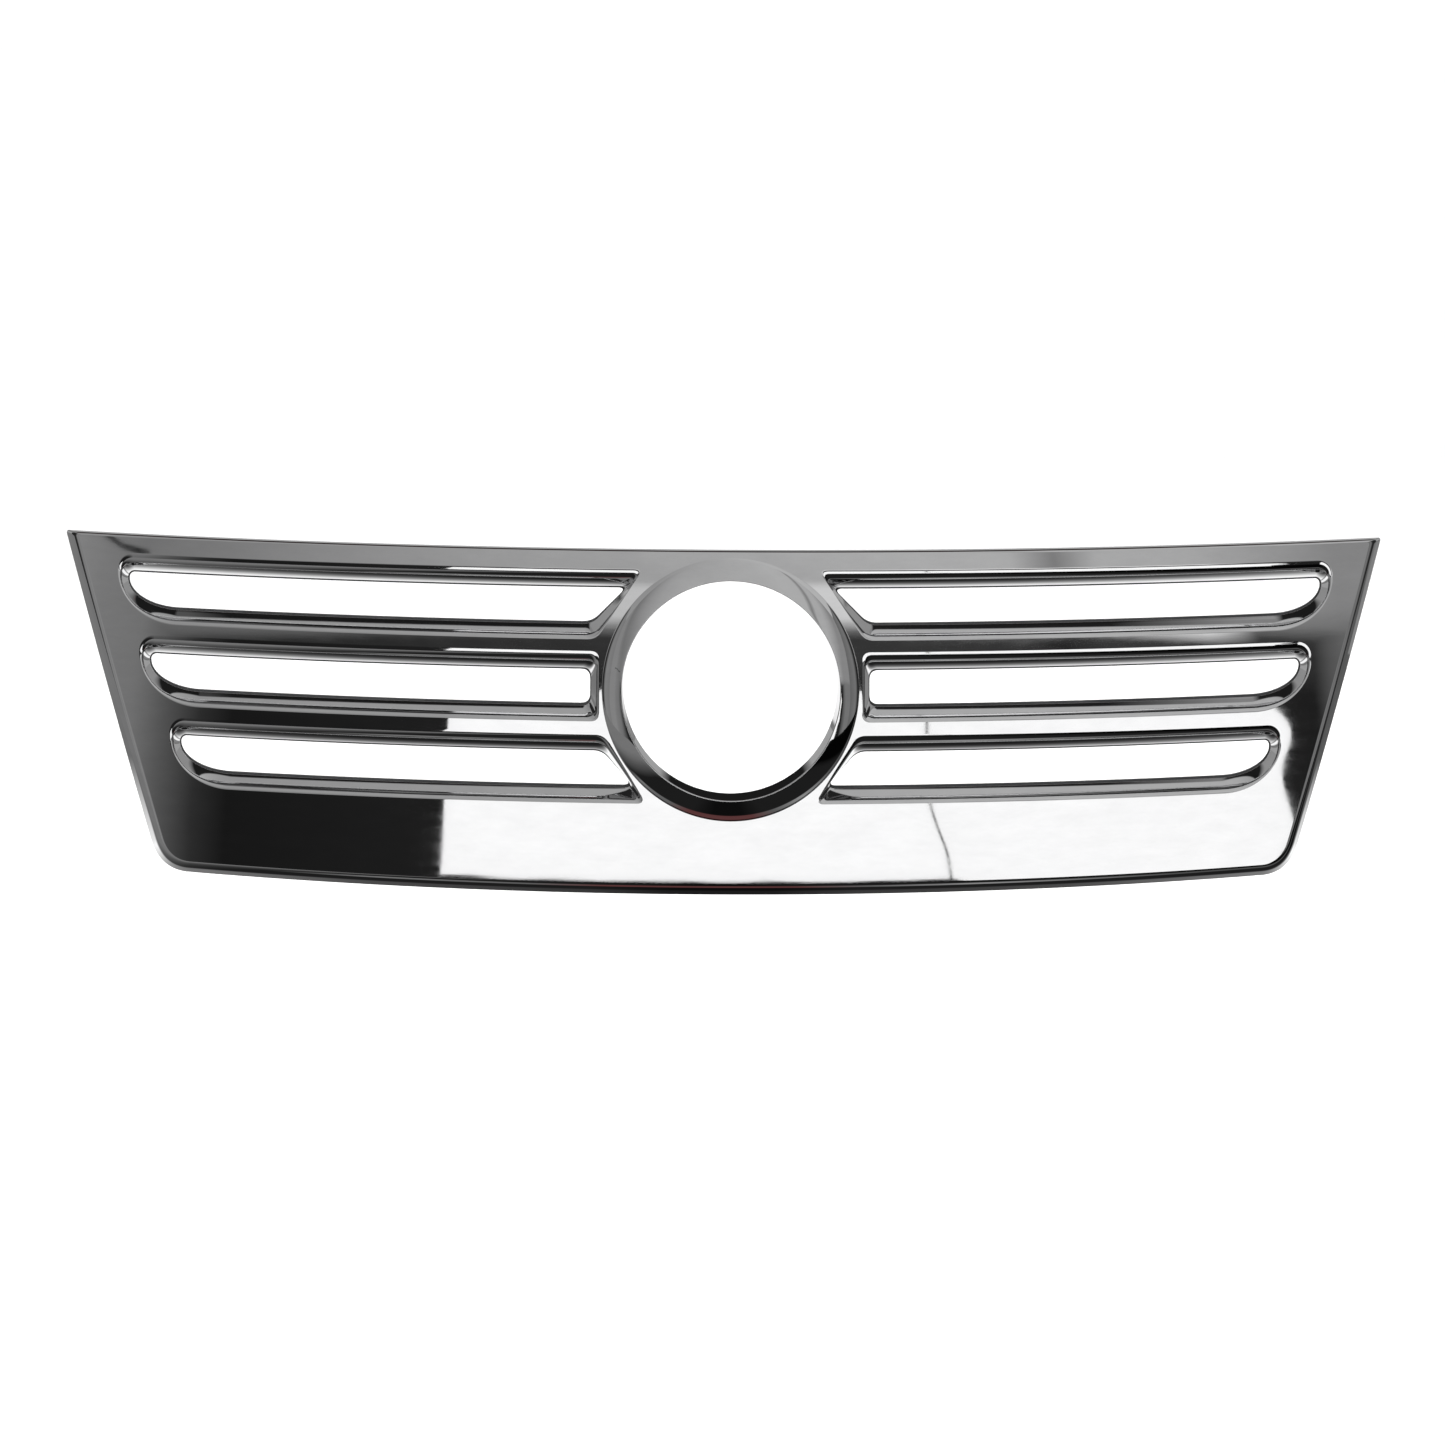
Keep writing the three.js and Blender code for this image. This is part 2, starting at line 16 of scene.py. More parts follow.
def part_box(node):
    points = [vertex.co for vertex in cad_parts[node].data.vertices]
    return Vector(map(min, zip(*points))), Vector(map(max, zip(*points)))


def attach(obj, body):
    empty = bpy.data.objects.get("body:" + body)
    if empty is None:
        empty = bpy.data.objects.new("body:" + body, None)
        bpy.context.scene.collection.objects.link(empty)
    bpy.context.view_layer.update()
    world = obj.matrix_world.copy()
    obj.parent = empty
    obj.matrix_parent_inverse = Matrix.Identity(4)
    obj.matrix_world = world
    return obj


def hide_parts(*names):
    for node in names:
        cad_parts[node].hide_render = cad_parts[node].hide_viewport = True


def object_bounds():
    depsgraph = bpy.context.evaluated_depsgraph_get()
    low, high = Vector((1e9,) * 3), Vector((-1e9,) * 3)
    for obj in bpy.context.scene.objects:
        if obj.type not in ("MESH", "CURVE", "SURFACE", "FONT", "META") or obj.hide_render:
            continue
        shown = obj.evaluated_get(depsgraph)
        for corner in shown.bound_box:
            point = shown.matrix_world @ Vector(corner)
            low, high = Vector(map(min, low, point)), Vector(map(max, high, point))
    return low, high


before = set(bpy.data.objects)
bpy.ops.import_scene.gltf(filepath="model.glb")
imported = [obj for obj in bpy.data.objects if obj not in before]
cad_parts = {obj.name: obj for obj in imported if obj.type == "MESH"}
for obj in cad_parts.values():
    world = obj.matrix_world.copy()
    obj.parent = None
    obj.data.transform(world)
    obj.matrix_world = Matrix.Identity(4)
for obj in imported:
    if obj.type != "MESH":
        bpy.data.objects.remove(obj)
CAD_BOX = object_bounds()

# ---- Driving dimensions, in millimetres ----
LEAN = math.radians(15)
BOW_RADIUS = 1420
CROWN_RADIUS = 1300

HALF_WIDTH = 452
TOP = 87.6
BOTTOM = -136
BOTTOM_RISE = 3
SIDE_RUN = 0.3127  # how far a side runs inwards for each millimetre down
TIP_REACH = 2.5
CORNER_REACH = 21
FACE_INSET = np.array([7.5, -0.9, 7.5])  # side, top, bottom
EDGE_ROLL = np.array([4.5, 1.6, 3.5])
EDGE_ROLL_DEPTH = 4.5
FLANGE_DEPTH = 15
SKIN = 2.6
WALL = 2.4

# Slots, from the top down: the upper edge's z, the outer end's x, the inner end's x at the top and the bottom
SLOTS = [(72.4, 410.5, 60, 91), (19.8, 394.5, 88.7, 88.7), (-32.8, 373, 84.5, 57.5)]
SLOT_HEIGHT = 39.4
SLOT_DEPTH = 14
END_RADIUS = 8.4
END_SWEEP = 39
INNER_REACH = 6
INNER_FOLLOW = 0.6  # how closely a slanted inner wall keeps to the slant as it goes back
DRAFT = np.array([9, 6.7, 4, 4])  # top, bottom, outer end, inner end
SLOT_ROLL = np.array([4.6, 1.5, 2.2, 1.9])
SLOT_ROLL_DEPTH = 2.8
SLOT_BELLY = np.array([0.4, 0.2, 0, 0])  # how far the walls arch into the slot on their way to the rear edge

HOLE = 71.1
HOLE_TALL = 68.6
BEAD_GROWTH = 1.12
BEAD_FOOT = 85.4
BEAD_BACK = (76.4, 78)  # where the wall behind the bead meets the sheet's rear
# The bead's section as joined curves, each from one (radius, depth) towards a second and ending at a third
BEAD_CURVES = [
    [(BEAD_FOOT, 0), (83.4, -3.0), (72.9, -6.6)],
    [(72.9, -6.6), (72.4, -6.8), (72.2, -5.6)],
]
BEAD_SINK = 0.6  # how much lower the bead stands at its top, where it runs into the rail
BEAD_REAR = 12

CARRIER_DEPTH = 14.8
CARRIER_SKIN = 3
CARRIER_BACK = CARRIER_DEPTH + CARRIER_SKIN
CARRIER_ROOT = CARRIER_DEPTH + CARRIER_SKIN / 2  # where what stands on the sheet's rear starts, inside it
CARRIER_INSET = np.array([4, 6, 4])
CARRIER_DRAFT = 1.1
CARRIER_HOLE = 75
RIM_DEPTH = 26
RIB = 2.4
RIB_DEPTH = 25
LOWER_RIB_Z = -88
LOWER_RIB_X = range(-300, 301, 75)
LOWER_RIB_END = BOTTOM + BOTTOM_RISE + CARRIER_INSET[2] + 1
BAR_RIB_SPANS = [(106, 220), (240, 366)]
BAR_RIB_Z = (25.5, -27.1)
PAD_RADIUS = 6
PAD_END = 20.8
SCREW_HOLE = 2.1
BOSS_RADIUS = 4.2
BOSS_START = 7  # of a boss that stands behind the top slot's wall

TAB_XS = [-330, -120, 120, 330]
TAB_BOTTOM = 71
TAB_THICK = 3
TAB_WIDTH = 36
TAB_REACH = 60
TAB_HOLE = 4.3
TAB_HOLE_DEPTH = 46
GUSSET = (2.4, 2.6, 32)  # width, height above the tab, reach
BLADE_XS = [-262, -40, 40, 262]
BLADE_BOTTOM = -118
BLADE_THICK = 3
BLADE_WIDTH = 24
BLADE_REACH = 48
LOCATOR_X = 404
LOCATOR_Z = -14
LOCATOR_RADIUS = 4
LOCATOR_REACH = 46
LOCATOR_WEB = (6.5, 27.5, 0.6)  # reach from the pin's middle, depth it ends at, half thickness

SEAT_Y = 22
SEAT = (77, 86, 4.5)  # inner radius, outer radius, thickness
SEAT_PILOT = 1.8
RING = (75.5, 87, 5)
RING_FLAT = 76.6
RING_SCREW_CIRCLE = 81.3
RING_SCREW_BORE = 3.9
RING_SCREW_DROP = 3.2
RING_SCREW = {"head": 3.6, "head_height": 2.4, "shank": 1.5, "length": 7.2, "pitch": 1.2}
FASCIA_SCREW = {"head": 4, "head_height": 2.3, "shank": 1.7, "length": 15, "pitch": 1.4}
SEAL_HALF_LENGTH = 412
SEAL_NEAR = 19.5
SEAL_WEB = 27
SEAL_FAR = 28.9
SEAL_ARM = 1.5
SEAL_BULB = 3.5
GAP = 0.3


def face(x, z):
    """Depth along Y of the curved face."""
    return BOW_RADIUS - np.sqrt(BOW_RADIUS**2 - x**2) + math.tan(LEAN) * z + z**2 / (2 * CROWN_RADIUS)


ORIGIN = np.array([0, face(120, TAB_BOTTOM) + TAB_HOLE_DEPTH, TAB_BOTTOM])
MM = 0.001


def steepness(x, z):
    """How far the curved face falls away for each millimetre across it."""
    return math.hypot(x / math.sqrt(BOW_RADIUS**2 - x**2), math.tan(LEAN) + z / CROWN_RADIUS)


def row(points):
    """Millimetres from the badge centre to the frame's metres."""
    return (np.asarray(points, float) - ORIGIN) * MM


def layout(point):
    """A frame point in metres, back to the layout's millimetres."""
    return np.array(point) / MM + ORIGIN


def node_box(name):
    """A frame node's low corner, high corner and middle, in the layout."""
    low, high = [layout(corner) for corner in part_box(name)]
    return low, high, (low + high) / 2


# ---- Lines in front view ----
def bezier(start, towards, end, steps):
    t = (np.arange(steps) / steps)[:, None]
    start, towards, end = np.array(start, float), np.array(towards, float), np.array(end, float)
    return (1 - t) ** 2 * start + 2 * t * (1 - t) * towards + t**2 * end


def line(start, end, steps):
    t = (np.arange(steps) / steps)[:, None]
    return (1 - t) * np.array(start, float) + t * np.array(end, float)


def arc(centre, radii, turn_from, turn_to, steps):
    turn = turn_from + (turn_to - turn_from) * np.arange(steps) / steps
    return np.column_stack([centre[0] + radii[0] * np.cos(turn), centre[1] + radii[1] * np.sin(turn)])


def through(points, steps):
    """A smooth curve through points, with `steps` to each stretch."""
    points = np.array(points, float)
    padded = np.vstack([2 * points[0] - points[1], points, 2 * points[-1] - points[-2]])
    curve = []
    for a, b, c, d in zip(padded, padded[1:], padded[2:], padded[3:]):
        for t in np.arange(steps) / steps:
            curve.append(0.5 * (2 * b + (c - a) * t + (2 * a - 5 * b + 4 * c - d) * t**2
                                + (3 * b - a - 3 * c + d) * t**3))
    return np.array(curve + [points[-1]])


def outline(inset):
    """The fascia's outline, inset from its rear edge by (side, top, bottom)."""
    side, top_inset, bottom_inset = inset
    top = TOP - top_inset
    low = BOTTOM + BOTTOM_RISE + bottom_inset
    reach = CORNER_REACH - side / 2
    corner_z = low + reach / math.hypot(1, SIDE_RUN)
    tip_z = top - TIP_REACH

    def edge(z):
        return HALF_WIDTH - SIDE_RUN * (TOP - z) - side

    a, b, c, d = edge(top) - TIP_REACH, edge(tip_z), edge(corner_z), edge(low) - reach
    return np.vstack([
        line((-a, top), (a, top), 110),
        bezier((a, top), (edge(top), top), (b, tip_z), 6),
        line((b, tip_z), (c, corner_z), 26),
        bezier((c, corner_z), (edge(low), low), (d, low), 16),
        bezier((d, low), (0, low - 2 * BOTTOM_RISE), (-d, low), 90),
        bezier((-d, low), (-edge(low), low), (-c, corner_z), 16),
        line((-c, corner_z), (-b, tip_z), 26),
        bezier((-b, tip_z), (-edge(top), top), (-a, top), 6),
    ])


def slot_outline(slot, side, inset):
    """A slot's outline, with its four sides moved inwards by (top, bottom, outer end, inner end)."""
    slot_top, slot_end, inner_top, inner_bottom = slot
    top = slot_top - inset[0]
    bottom = slot_top - SLOT_HEIGHT + inset[1]
    end = slot_end - inset[2]
    radius = END_RADIUS - inset[2]
    sweep = END_SWEEP - inset[2]
    slant = (inner_bottom - inner_top) / SLOT_HEIGHT * INNER_FOLLOW
    high = np.array([inner_top + inset[3] + slant * max(inset[0], 0), top])
    low = np.array([inner_bottom + inset[3] - slant * max(inset[1], 0), bottom])
    along = (low - high) / np.linalg.norm(low - high) * INNER_REACH
    start = high + (INNER_REACH, 0)
    finish = low + (INNER_REACH, 0)
    points = np.vstack([
        line(start, (end - radius, top), 44),
        arc((end - radius, top - radius), (radius, radius), math.pi / 2, 0, 10),
        arc((end - sweep, top - radius), (sweep, top - radius - bottom), 0, -math.pi / 2, 26),
        line((end - sweep, bottom), finish, 40),
        bezier(finish, low, low - along, 8),
        line(low - along, high + along, 8),
        bezier(high + along, high, start, 8),
    ])
    return points if side > 0 else points * (-1, 1)


def aperture(radius, count=160):
    tall = HOLE_TALL + (radius - HOLE) * BEAD_GROWTH
    return arc((0, 0), (radius, tall), 0, 2 * math.pi, count)


def circle(centre, radius, count=32):
    return arc(centre, (radius, radius), 0, 2 * math.pi, count)


# ---- Where a flat layout lies in space ----
def curved(points, depth):
    x, z = points[:, 0], points[:, 1]
    return np.column_stack([x, face(x, z) + depth, z])


def on_seat(points):
    """Points (x, y, z) of the badge plane's own frame, leaned back and set behind the aperture."""
    x, y, z = np.asarray(points, float).T
    c, s = math.cos(LEAN), math.sin(LEAN)
    return np.column_stack([x, SEAT_Y + y * c + z * s, -y * s + z * c])


def seated(points, depth):
    return on_seat(np.column_stack([points[:, 0], np.full(len(points), depth), points[:, 1]]))


def level(top):
    """A layout on (x, y), with its depth downwards from `top`."""
    return lambda points, depth: np.column_stack([points, np.full(len(points), top - depth)])


# ---- Mesh building ----
def inside(points, polygon):
    x, y = points[:, 0][:, None], points[:, 1][:, None]
    ax, ay = polygon[:, 0], polygon[:, 1]
    bx, by = np.roll(ax, -1), np.roll(ay, -1)
    crosses = (ay > y) != (by > y)
    with np.errstate(divide="ignore", invalid="ignore"):
        cut = ax + (y - ay) * (bx - ax) / (by - ay)
    return (np.sum(crosses & (x < cut), axis=1) % 2) == 1


def filled(loops, spacing):
    """Points inside the first loop and outside the others, and the triangles over all points and loops."""
    outer, holes = loops[0], loops[1:]
    low, high = outer.min(0), outer.max(0)
    xs = np.arange(low[0] + spacing / 2, high[0], spacing)
    zs = np.arange(low[1] + spacing / 2, high[1], spacing)
    grid = np.array([(x, z) for x in xs for z in zs]).reshape(-1, 2)
    border = np.vstack(loops)
    if len(grid):
        keep = inside(grid, outer)
        for hole in holes:
            keep &= ~inside(grid, hole)
        grid = grid[keep]
    if len(grid):
        near = np.min(np.linalg.norm(grid[:, None, :] - border[None], axis=2), axis=1)
        grid = grid[near > 0.45 * spacing]
    points = np.vstack([border, grid])
    edges = []
    first = 0
    for loop in loops:
        count = len(loop)
        edges += [(first + i, first + (i + 1) % count) for i in range(count)]
        first += count
    made, _, triangles, origins, _, _ = delaunay_2d_cdt([Vector(p) for p in points], edges, [], 0, 1e-5)
    source = np.array([origin[0] for origin in origins])
    triangles = np.array(triangles)
    centres = np.array([(p.x, p.y) for p in made])[triangles].mean(axis=1)
    good = inside(centres, outer)
    for hole in holes:
        good &= ~inside(centres, hole)
    return grid, source[triangles[good]]


class Shape:
    """Vertices, faces with a material index, and the exact normals of the vertices that have one."""

    def __init__(self):
        self.vertices, self.normals, self.faces, self.indices = [], [], [], []

    def add(self, vertices, faces, normals=None, index=0):
        first = len(self.vertices)
        self.vertices += [tuple(v) for v in vertices]
        self.normals += [tuple(n) for n in (np.zeros_like(vertices) if normals is None else normals)]
        self.faces += [[first + int(i) for i in f] for f in faces]
        self.indices += [index] * len(faces)
        return first

    def mesh(self, name, sharp=None):
        mesh = bpy.data.meshes.new(name)
        mesh.from_pydata([tuple(v) for v in row(self.vertices)], [], self.faces)
        mesh.polygons.foreach_set("material_index", self.indices)
        work = bmesh.new()
        work.from_mesh(mesh)
        if sharp is not None:
            bmesh.ops.remove_doubles(work, verts=work.verts, dist=1e-6)
        bmesh.ops.recalc_face_normals(work, faces=work.faces)
        work.to_mesh(mesh)
        work.free()
        mesh.shade_smooth()
        if sharp is None:
            auto = np.zeros(len(mesh.vertices) * 3)
            mesh.vertex_normals.foreach_get("vector", auto)
            auto = auto.reshape(-1, 3)
            exact = np.array(self.normals)
            exact *= np.where(np.sum(exact * auto, axis=1) < 0, -1, 1)[:, None]
            bare = np.linalg.norm(exact, axis=1) < 0.5
            exact[bare] = auto[bare]
            mesh.normals_split_custom_set_from_vertices([tuple(n) for n in exact])
        else:
            mesh.set_sharp_from_angle(angle=math.radians(sharp))
        return mesh


def ring_faces(rings, count, first=0):
    faces = []
    for r in range(rings - 1):
        for i in range(count):
            j = (i + 1) % count
            a, b = first + r * count, first + (r + 1) * count
            faces.append((a + i, a + j, b + j, b + i))
    return faces


def ring_normals(rings, hints):
    """Normals of a stack of closed rings. A ring's hint says which neighbours its slope comes from."""
    normals = []
    for r, ring in enumerate(rings):
        around = np.roll(ring, -1, axis=0) - np.roll(ring, 1, axis=0)
        before = ring - rings[r - 1] if r else rings[1] - ring
        after = rings[r + 1] - ring if r + 1 < len(rings) else before
        unit = [d / np.maximum(np.linalg.norm(d, axis=1, keepdims=True), 1e-9) for d in (before, after)]
        slope = {"smooth": unit[0] + unit[1], "before": unit[0], "after": unit[1]}[hints[r]]
        normal = np.cross(around, slope)
        normals.append(normal / np.maximum(np.linalg.norm(normal, axis=1, keepdims=True), 1e-9))
    return normals


def sheet_normals(space, points, depth):
    small = 0.01
    across = space(points + (small, 0), depth) - space(points - (small, 0), depth)
    upwards = space(points + (0, small), depth) - space(points - (0, small), depth)
    normal = np.cross(across, upwards)
    return normal / np.linalg.norm(normal, axis=1, keepdims=True)


def moulding(shape, space, edges, spacing, back_rings=0):
    """A closed sheet. Each edge is a list of (line, depth, hint) that runs from the front sheet round to the
    back one. The first edge is the outline and the others are openings. With `back_rings`, that many of each
    edge's last rings and the back sheet take material 1."""
    starts, stops, fronts, backs = [], [], [], []
    for edge in edges:
        rings = [space(points, depth) for points, depth, _ in edge]
        normals = ring_normals(rings, [hint for _, _, hint in edge])
        normals[0] = sheet_normals(space, edge[0][0], edge[0][1])
        normals[-1] = sheet_normals(space, edge[-1][0], edge[-1][1])
        count = len(rings[0])
        turn = len(rings) - back_rings
        first = shape.add(np.vstack(rings), ring_faces(turn, count), np.vstack(normals))
        rest = ring_faces(len(rings) - turn + 1, count, first + (turn - 1) * count)
        shape.faces += [list(f) for f in rest]
        shape.indices += [1] * len(rest)
        starts += range(first, first + count)
        stops += range(first + (len(rings) - 1) * count, first + len(rings) * count)
        fronts.append(edge[0][0])
        backs.append(edge[-1][0])
    for loops, border, depth, index in (
        (fronts, starts, edges[0][0][1], 0),
        (backs, stops, edges[0][-1][1], 1 if back_rings else 0),
    ):
        grid, triangles = filled(loops, spacing)
        first = len(shape.vertices)
        if len(grid):
            shape.add(space(grid, depth), [], sheet_normals(space, grid, depth))
        number = np.array(border + list(range(first, first + len(grid))))
        shape.faces += [[int(i) for i in t] for t in number[triangles]]
        shape.indices += [index] * len(triangles)


def plain_edge(points_at, near, far, soften=0.5):
    """An edge straight through a sheet, with softened corners. points_at(grow) is the line moved outwards."""
    return [
        (points_at(-soften), near, "smooth"),
        (points_at(-soften * 0.3), near + soften * 0.3, "smooth"),
        (points_at(0), near + soften, "after"),
        (points_at(0), far - soften, "before"),
        (points_at(-soften * 0.3), far - soften * 0.3, "smooth"),
        (points_at(-soften), far, "smooth"),
    ]


def swept(shape, sections):
    """A closed skin over a row of sections, which all have the same count of points."""
    count = len(sections[0])
    vertices = np.vstack(sections)
    ends = [tuple(range(count)), tuple(range(len(vertices) - count, len(vertices)))]
    shape.add(vertices, ring_faces(len(sections), count) + ends)


def rearwards(x, y, z):
    """Puts a piece made on +Z so that it points rearwards from (x, y, z)."""
    return lambda points: points[:, [0, 2, 1]] + (x, y, z)


def lathe(shape, profile, place, segments=40, radius_at=None):
    """Turns a profile of (radius, height) about its own Z; place(points) puts it where it belongs."""
    turns = np.arange(segments) * 2 * math.pi / segments
    rings = []
    for k, (radius, height) in enumerate(profile):
        around = np.full_like(turns, radius) if radius_at is None else radius_at(k, radius, height, turns)
        level_at = np.full_like(turns, height)
        rings.append(np.column_stack([around * np.cos(turns), around * np.sin(turns), level_at]))
    shape.add(place(np.vstack(rings)), ring_faces(len(rings), segments))


def block(shape, low, high, soften=0.5, step=12, bowed=True):
    """A box with softened edges, in steps along X so that it can follow the bow."""
    def section(inset):
        y0, z0, y1, z1 = low[1] + inset, low[2] + inset, high[1] - inset, high[2] - inset
        corner = [(0, soften), (0.3 * soften, 0.3 * soften), (soften, 0)]
        points = [(y0 + a, z0 + b) for a, b in corner]
        points += [(y1 - b, z0 + a) for a, b in corner]
        points += [(y1 - a, z1 - b) for a, b in corner]
        points += [(y0 + b, z1 - a) for a, b in corner]
        return points

    count = max(2, int((high[0] - low[0]) / step) + 1)
    stations = [(low[0], soften), (low[0] + 0.3 * soften, 0.3 * soften)]
    stations += [(x, 0) for x in np.linspace(low[0] + soften, high[0] - soften, count)]
    stations += [(high[0] - 0.3 * soften, 0.3 * soften), (high[0], soften)]
    swept(shape, [[(x, y + (face(x, z) if bowed else 0), z) for y, z in section(inset)]
                  for x, inset in stations])


def cylinder(shape, centre, radius, near, far, soften=0.5, draft=0.0, segments=36):
    """A post along Y from `near` to `far`, both measured as plain Y."""
    length = far - near
    profile = [(0, 0), (radius + draft, 0), (radius, length - soften),
               (radius - 0.3 * soften, length - 0.3 * soften), (radius - soften, length), (0, length)]
    lathe(shape, profile, rearwards(centre[0], near, centre[1]), segments)


def placed(name, data):
    obj = bpy.data.objects.new(name, data)
    bpy.context.scene.collection.objects.link(obj)
    return obj


def piece(node, shape, slot, materials, sharp=None, body="grille"):
    """The look of a CAD node, on the body that it rides on. The plating mirrors the room and itself, not the
    black parts behind it."""
    mesh = shape.mesh(node, sharp)
    for material in materials:
        mesh.materials.append(material)
    obj = placed(f"{node}_look", mesh)
    obj.visible_glossy = slot == "chrome_plating"
    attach(obj, body)
    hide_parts(node)
    return obj


# ---- Materials ----
def rgba(tone):
    """A colour from three numbers, or a grey from one."""
    return (*tone, 1) if isinstance(tone, tuple) else (tone, tone, tone, 1)


class Nodes:
    """A material's node tree with short calls for what the materials below share."""

    def __init__(self, name):
        self.material = bpy.data.materials.new(name)
        self.material.use_nodes = True
        self.tree = self.material.node_tree
        self.shader = self.tree.nodes["Principled BSDF"]
        self.place = self.add("ShaderNodeTexCoord").outputs["Object"]

    def feed(self, socket, value):
        """Links an output to an input, or sets the input's value."""
        if isinstance(value, bpy.types.NodeSocket):
            self.tree.links.new(value, socket)
        else:
            socket.default_value = rgba(value) if socket.type == "RGBA" else value

    def add(self, kind, inputs=None, **settings):
        node = self.tree.nodes.new(kind)
        for key, value in settings.items():
            setattr(node, key, value)
        for key, value in (inputs or {}).items():
            self.feed(node.inputs[key], value)
        return node

    def stretched(self, scale):
        return self.add("ShaderNodeMapping", {"Vector": self.place, "Scale": scale}).outputs["Vector"]

    def noise(self, scale, detail=4.0, rough=0.55, vector=None):
        inputs = {"Scale": scale, "Detail": detail, "Roughness": rough, "Vector": vector or self.place}
        return self.add("ShaderNodeTexNoise", inputs).outputs["Fac"]

    def cells(self, scale):
        return self.add("ShaderNodeTexVoronoi", {"Scale": scale, "Vector": self.place}).outputs["Distance"]

    def ramp(self, source, stops):
        node = self.add("ShaderNodeValToRGB", {"Fac": source})
        elements = node.color_ramp.elements
        while len(elements) < len(stops):
            elements.new(0.5)
        for element, (at, tone) in zip(elements, stops):
            element.position = at
            element.color = rgba(tone)
        return node.outputs["Color"]

    def spread(self, source, low, high, start=0.3, stop=0.7):
        inputs = {"Value": source, "From Min": start, "From Max": stop, "To Min": low, "To Max": high}
        return self.add("ShaderNodeMapRange", inputs).outputs["Result"]

    def along(self, axis, stops):
        """A tone that changes along one axis; stops are (metres, tone)."""
        start, stop = stops[0][0], stops[-1][0]
        parts = self.add("ShaderNodeSeparateXYZ", {"Vector": self.place})
        share = self.spread(parts.outputs[axis], 0, 1, start, stop)
        return self.ramp(share, [((at - start) / (stop - start), tone) for at, tone in stops])

    def joined(self, operation, *tones):
        """MAXIMUM or MULTIPLY over several tones."""
        result = tones[0]
        for tone in tones[1:]:
            result = self.add("ShaderNodeVectorMath", {0: result, 1: tone}, operation=operation).outputs[0]
        return result

    def worn(self, low=0.52, high=0.62):
        """High on outer edges, low elsewhere."""
        return self.spread(self.add("ShaderNodeNewGeometry").outputs["Pointiness"], 0, 1, low, high)

    def mix(self, factor, a, b):
        # A colour mix has its two colours at inputs 6 and 7, and its result at output 2
        return self.add("ShaderNodeMix", {"Factor": factor, 6: a, 7: b}, data_type="RGBA").outputs[2]

    def bump(self, layers):
        """Bumps from (height, strength, distance in metres), one over another."""
        inputs = {}
        for height, strength, distance in layers:
            inputs.update(Strength=strength, Distance=distance, Height=height)
            inputs["Normal"] = self.add("ShaderNodeBump", inputs).outputs["Normal"]
        self.feed(self.shader.inputs["Normal"], inputs["Normal"])

    def set(self, **values):
        for key, value in values.items():
            self.feed(self.shader.inputs[key.replace("_", " ")], value)


def chrome_plating():
    """Mirror plating: a long, faint ripple from the moulding, and fine haze where it has been wiped."""
    n = Nodes("chrome_plating")
    ripple = n.noise(14, detail=1)
    haze = n.noise(38, detail=6, rough=0.62, vector=n.stretched((1, 1, 3)))
    wipes = n.noise(420, detail=3, vector=n.stretched((0.06, 0.5, 1)))
    tone = n.ramp(haze, [(0.3, (0.80, 0.80, 0.805)), (0.7, (0.86, 0.86, 0.865))])
    n.set(Base_Color=tone, Metallic=1.0, Roughness=n.spread(haze, 0.018, 0.05))
    n.bump([(ripple, 0.10, 0.0008), (wipes, 0.012, 0.0001)])
    return n.material


def plated_back():
    """The moulding's rear, plated but dull, with flow marks."""
    n = Nodes("plated_back")
    flow = n.noise(30, detail=5, vector=n.stretched((0.4, 1, 1)))
    fine = n.noise(900, detail=2)
    n.set(Base_Color=n.ramp(flow, [(0.3, (0.42, 0.42, 0.43)), (0.7, (0.55, 0.55, 0.56))]), Metallic=1.0,
          Roughness=n.spread(flow, 0.32, 0.46))
    n.bump([(flow, 0.15, 0.0004), (fine, 0.1, 0.0001)])
    return n.material


def grained_plastic():
    """Black moulded plastic with a fine leather grain, dust in patches and paler scuffed edges."""
    n = Nodes("black_plastic")
    grain = n.cells(900)
    flow = n.noise(22, detail=6, rough=0.6)
    dust = n.noise(60, detail=8, rough=0.7)
    base = n.ramp(flow, [(0.3, (0.016, 0.016, 0.017)), (0.7, (0.030, 0.030, 0.032))])
    dusty = n.mix(n.spread(dust, 0, 0.35, 0.5, 0.8), base, (0.075, 0.073, 0.07))
    n.set(Base_Color=n.mix(n.worn(), dusty, (0.10, 0.10, 0.105)), Roughness=n.spread(flow, 0.42, 0.62))
    n.bump([(grain, 0.35, 0.00015), (dust, 0.08, 0.0003)])
    return n.material


def black_nylon():
    n = Nodes("black_nylon")
    flow = n.noise(120, detail=4)
    n.set(Base_Color=n.mix(n.worn(), n.ramp(flow, [(0.3, 0.022), (0.7, 0.042)]), 0.13),
          Roughness=n.spread(flow, 0.34, 0.5))
    n.bump([(n.noise(1800, detail=2), 0.12, 0.0001)])
    return n.material


def seal_rubber(name, scale):
    """Black rubber with a chalky bloom."""
    n = Nodes(name)
    bloom = n.noise(scale, detail=7, rough=0.65)
    n.set(Base_Color=n.ramp(bloom, [(0.35, 0.012), (0.75, (0.040, 0.040, 0.039))]),
          Roughness=n.spread(bloom, 0.62, 0.85))
    n.bump([(n.noise(1500, detail=3), 0.25, 0.0001)])
    return n.material


def pad_foam():
    """Open-cell foam, with its cell hollows painted darker: painted shade in the pores."""
    n = Nodes("pad_foam")
    cells = n.cells(1400)
    # Darker at the cells' middles, where the bump sinks them: painted shade
    tone = n.ramp(cells, [(0.1, (0.010, 0.010, 0.011)), (0.6, (0.055, 0.055, 0.058))])
    n.set(Base_Color=tone, Roughness=0.95)
    n.bump([(cells, 0.8, 0.0005), (n.noise(90), 0.3, 0.0006)])
    return n.material


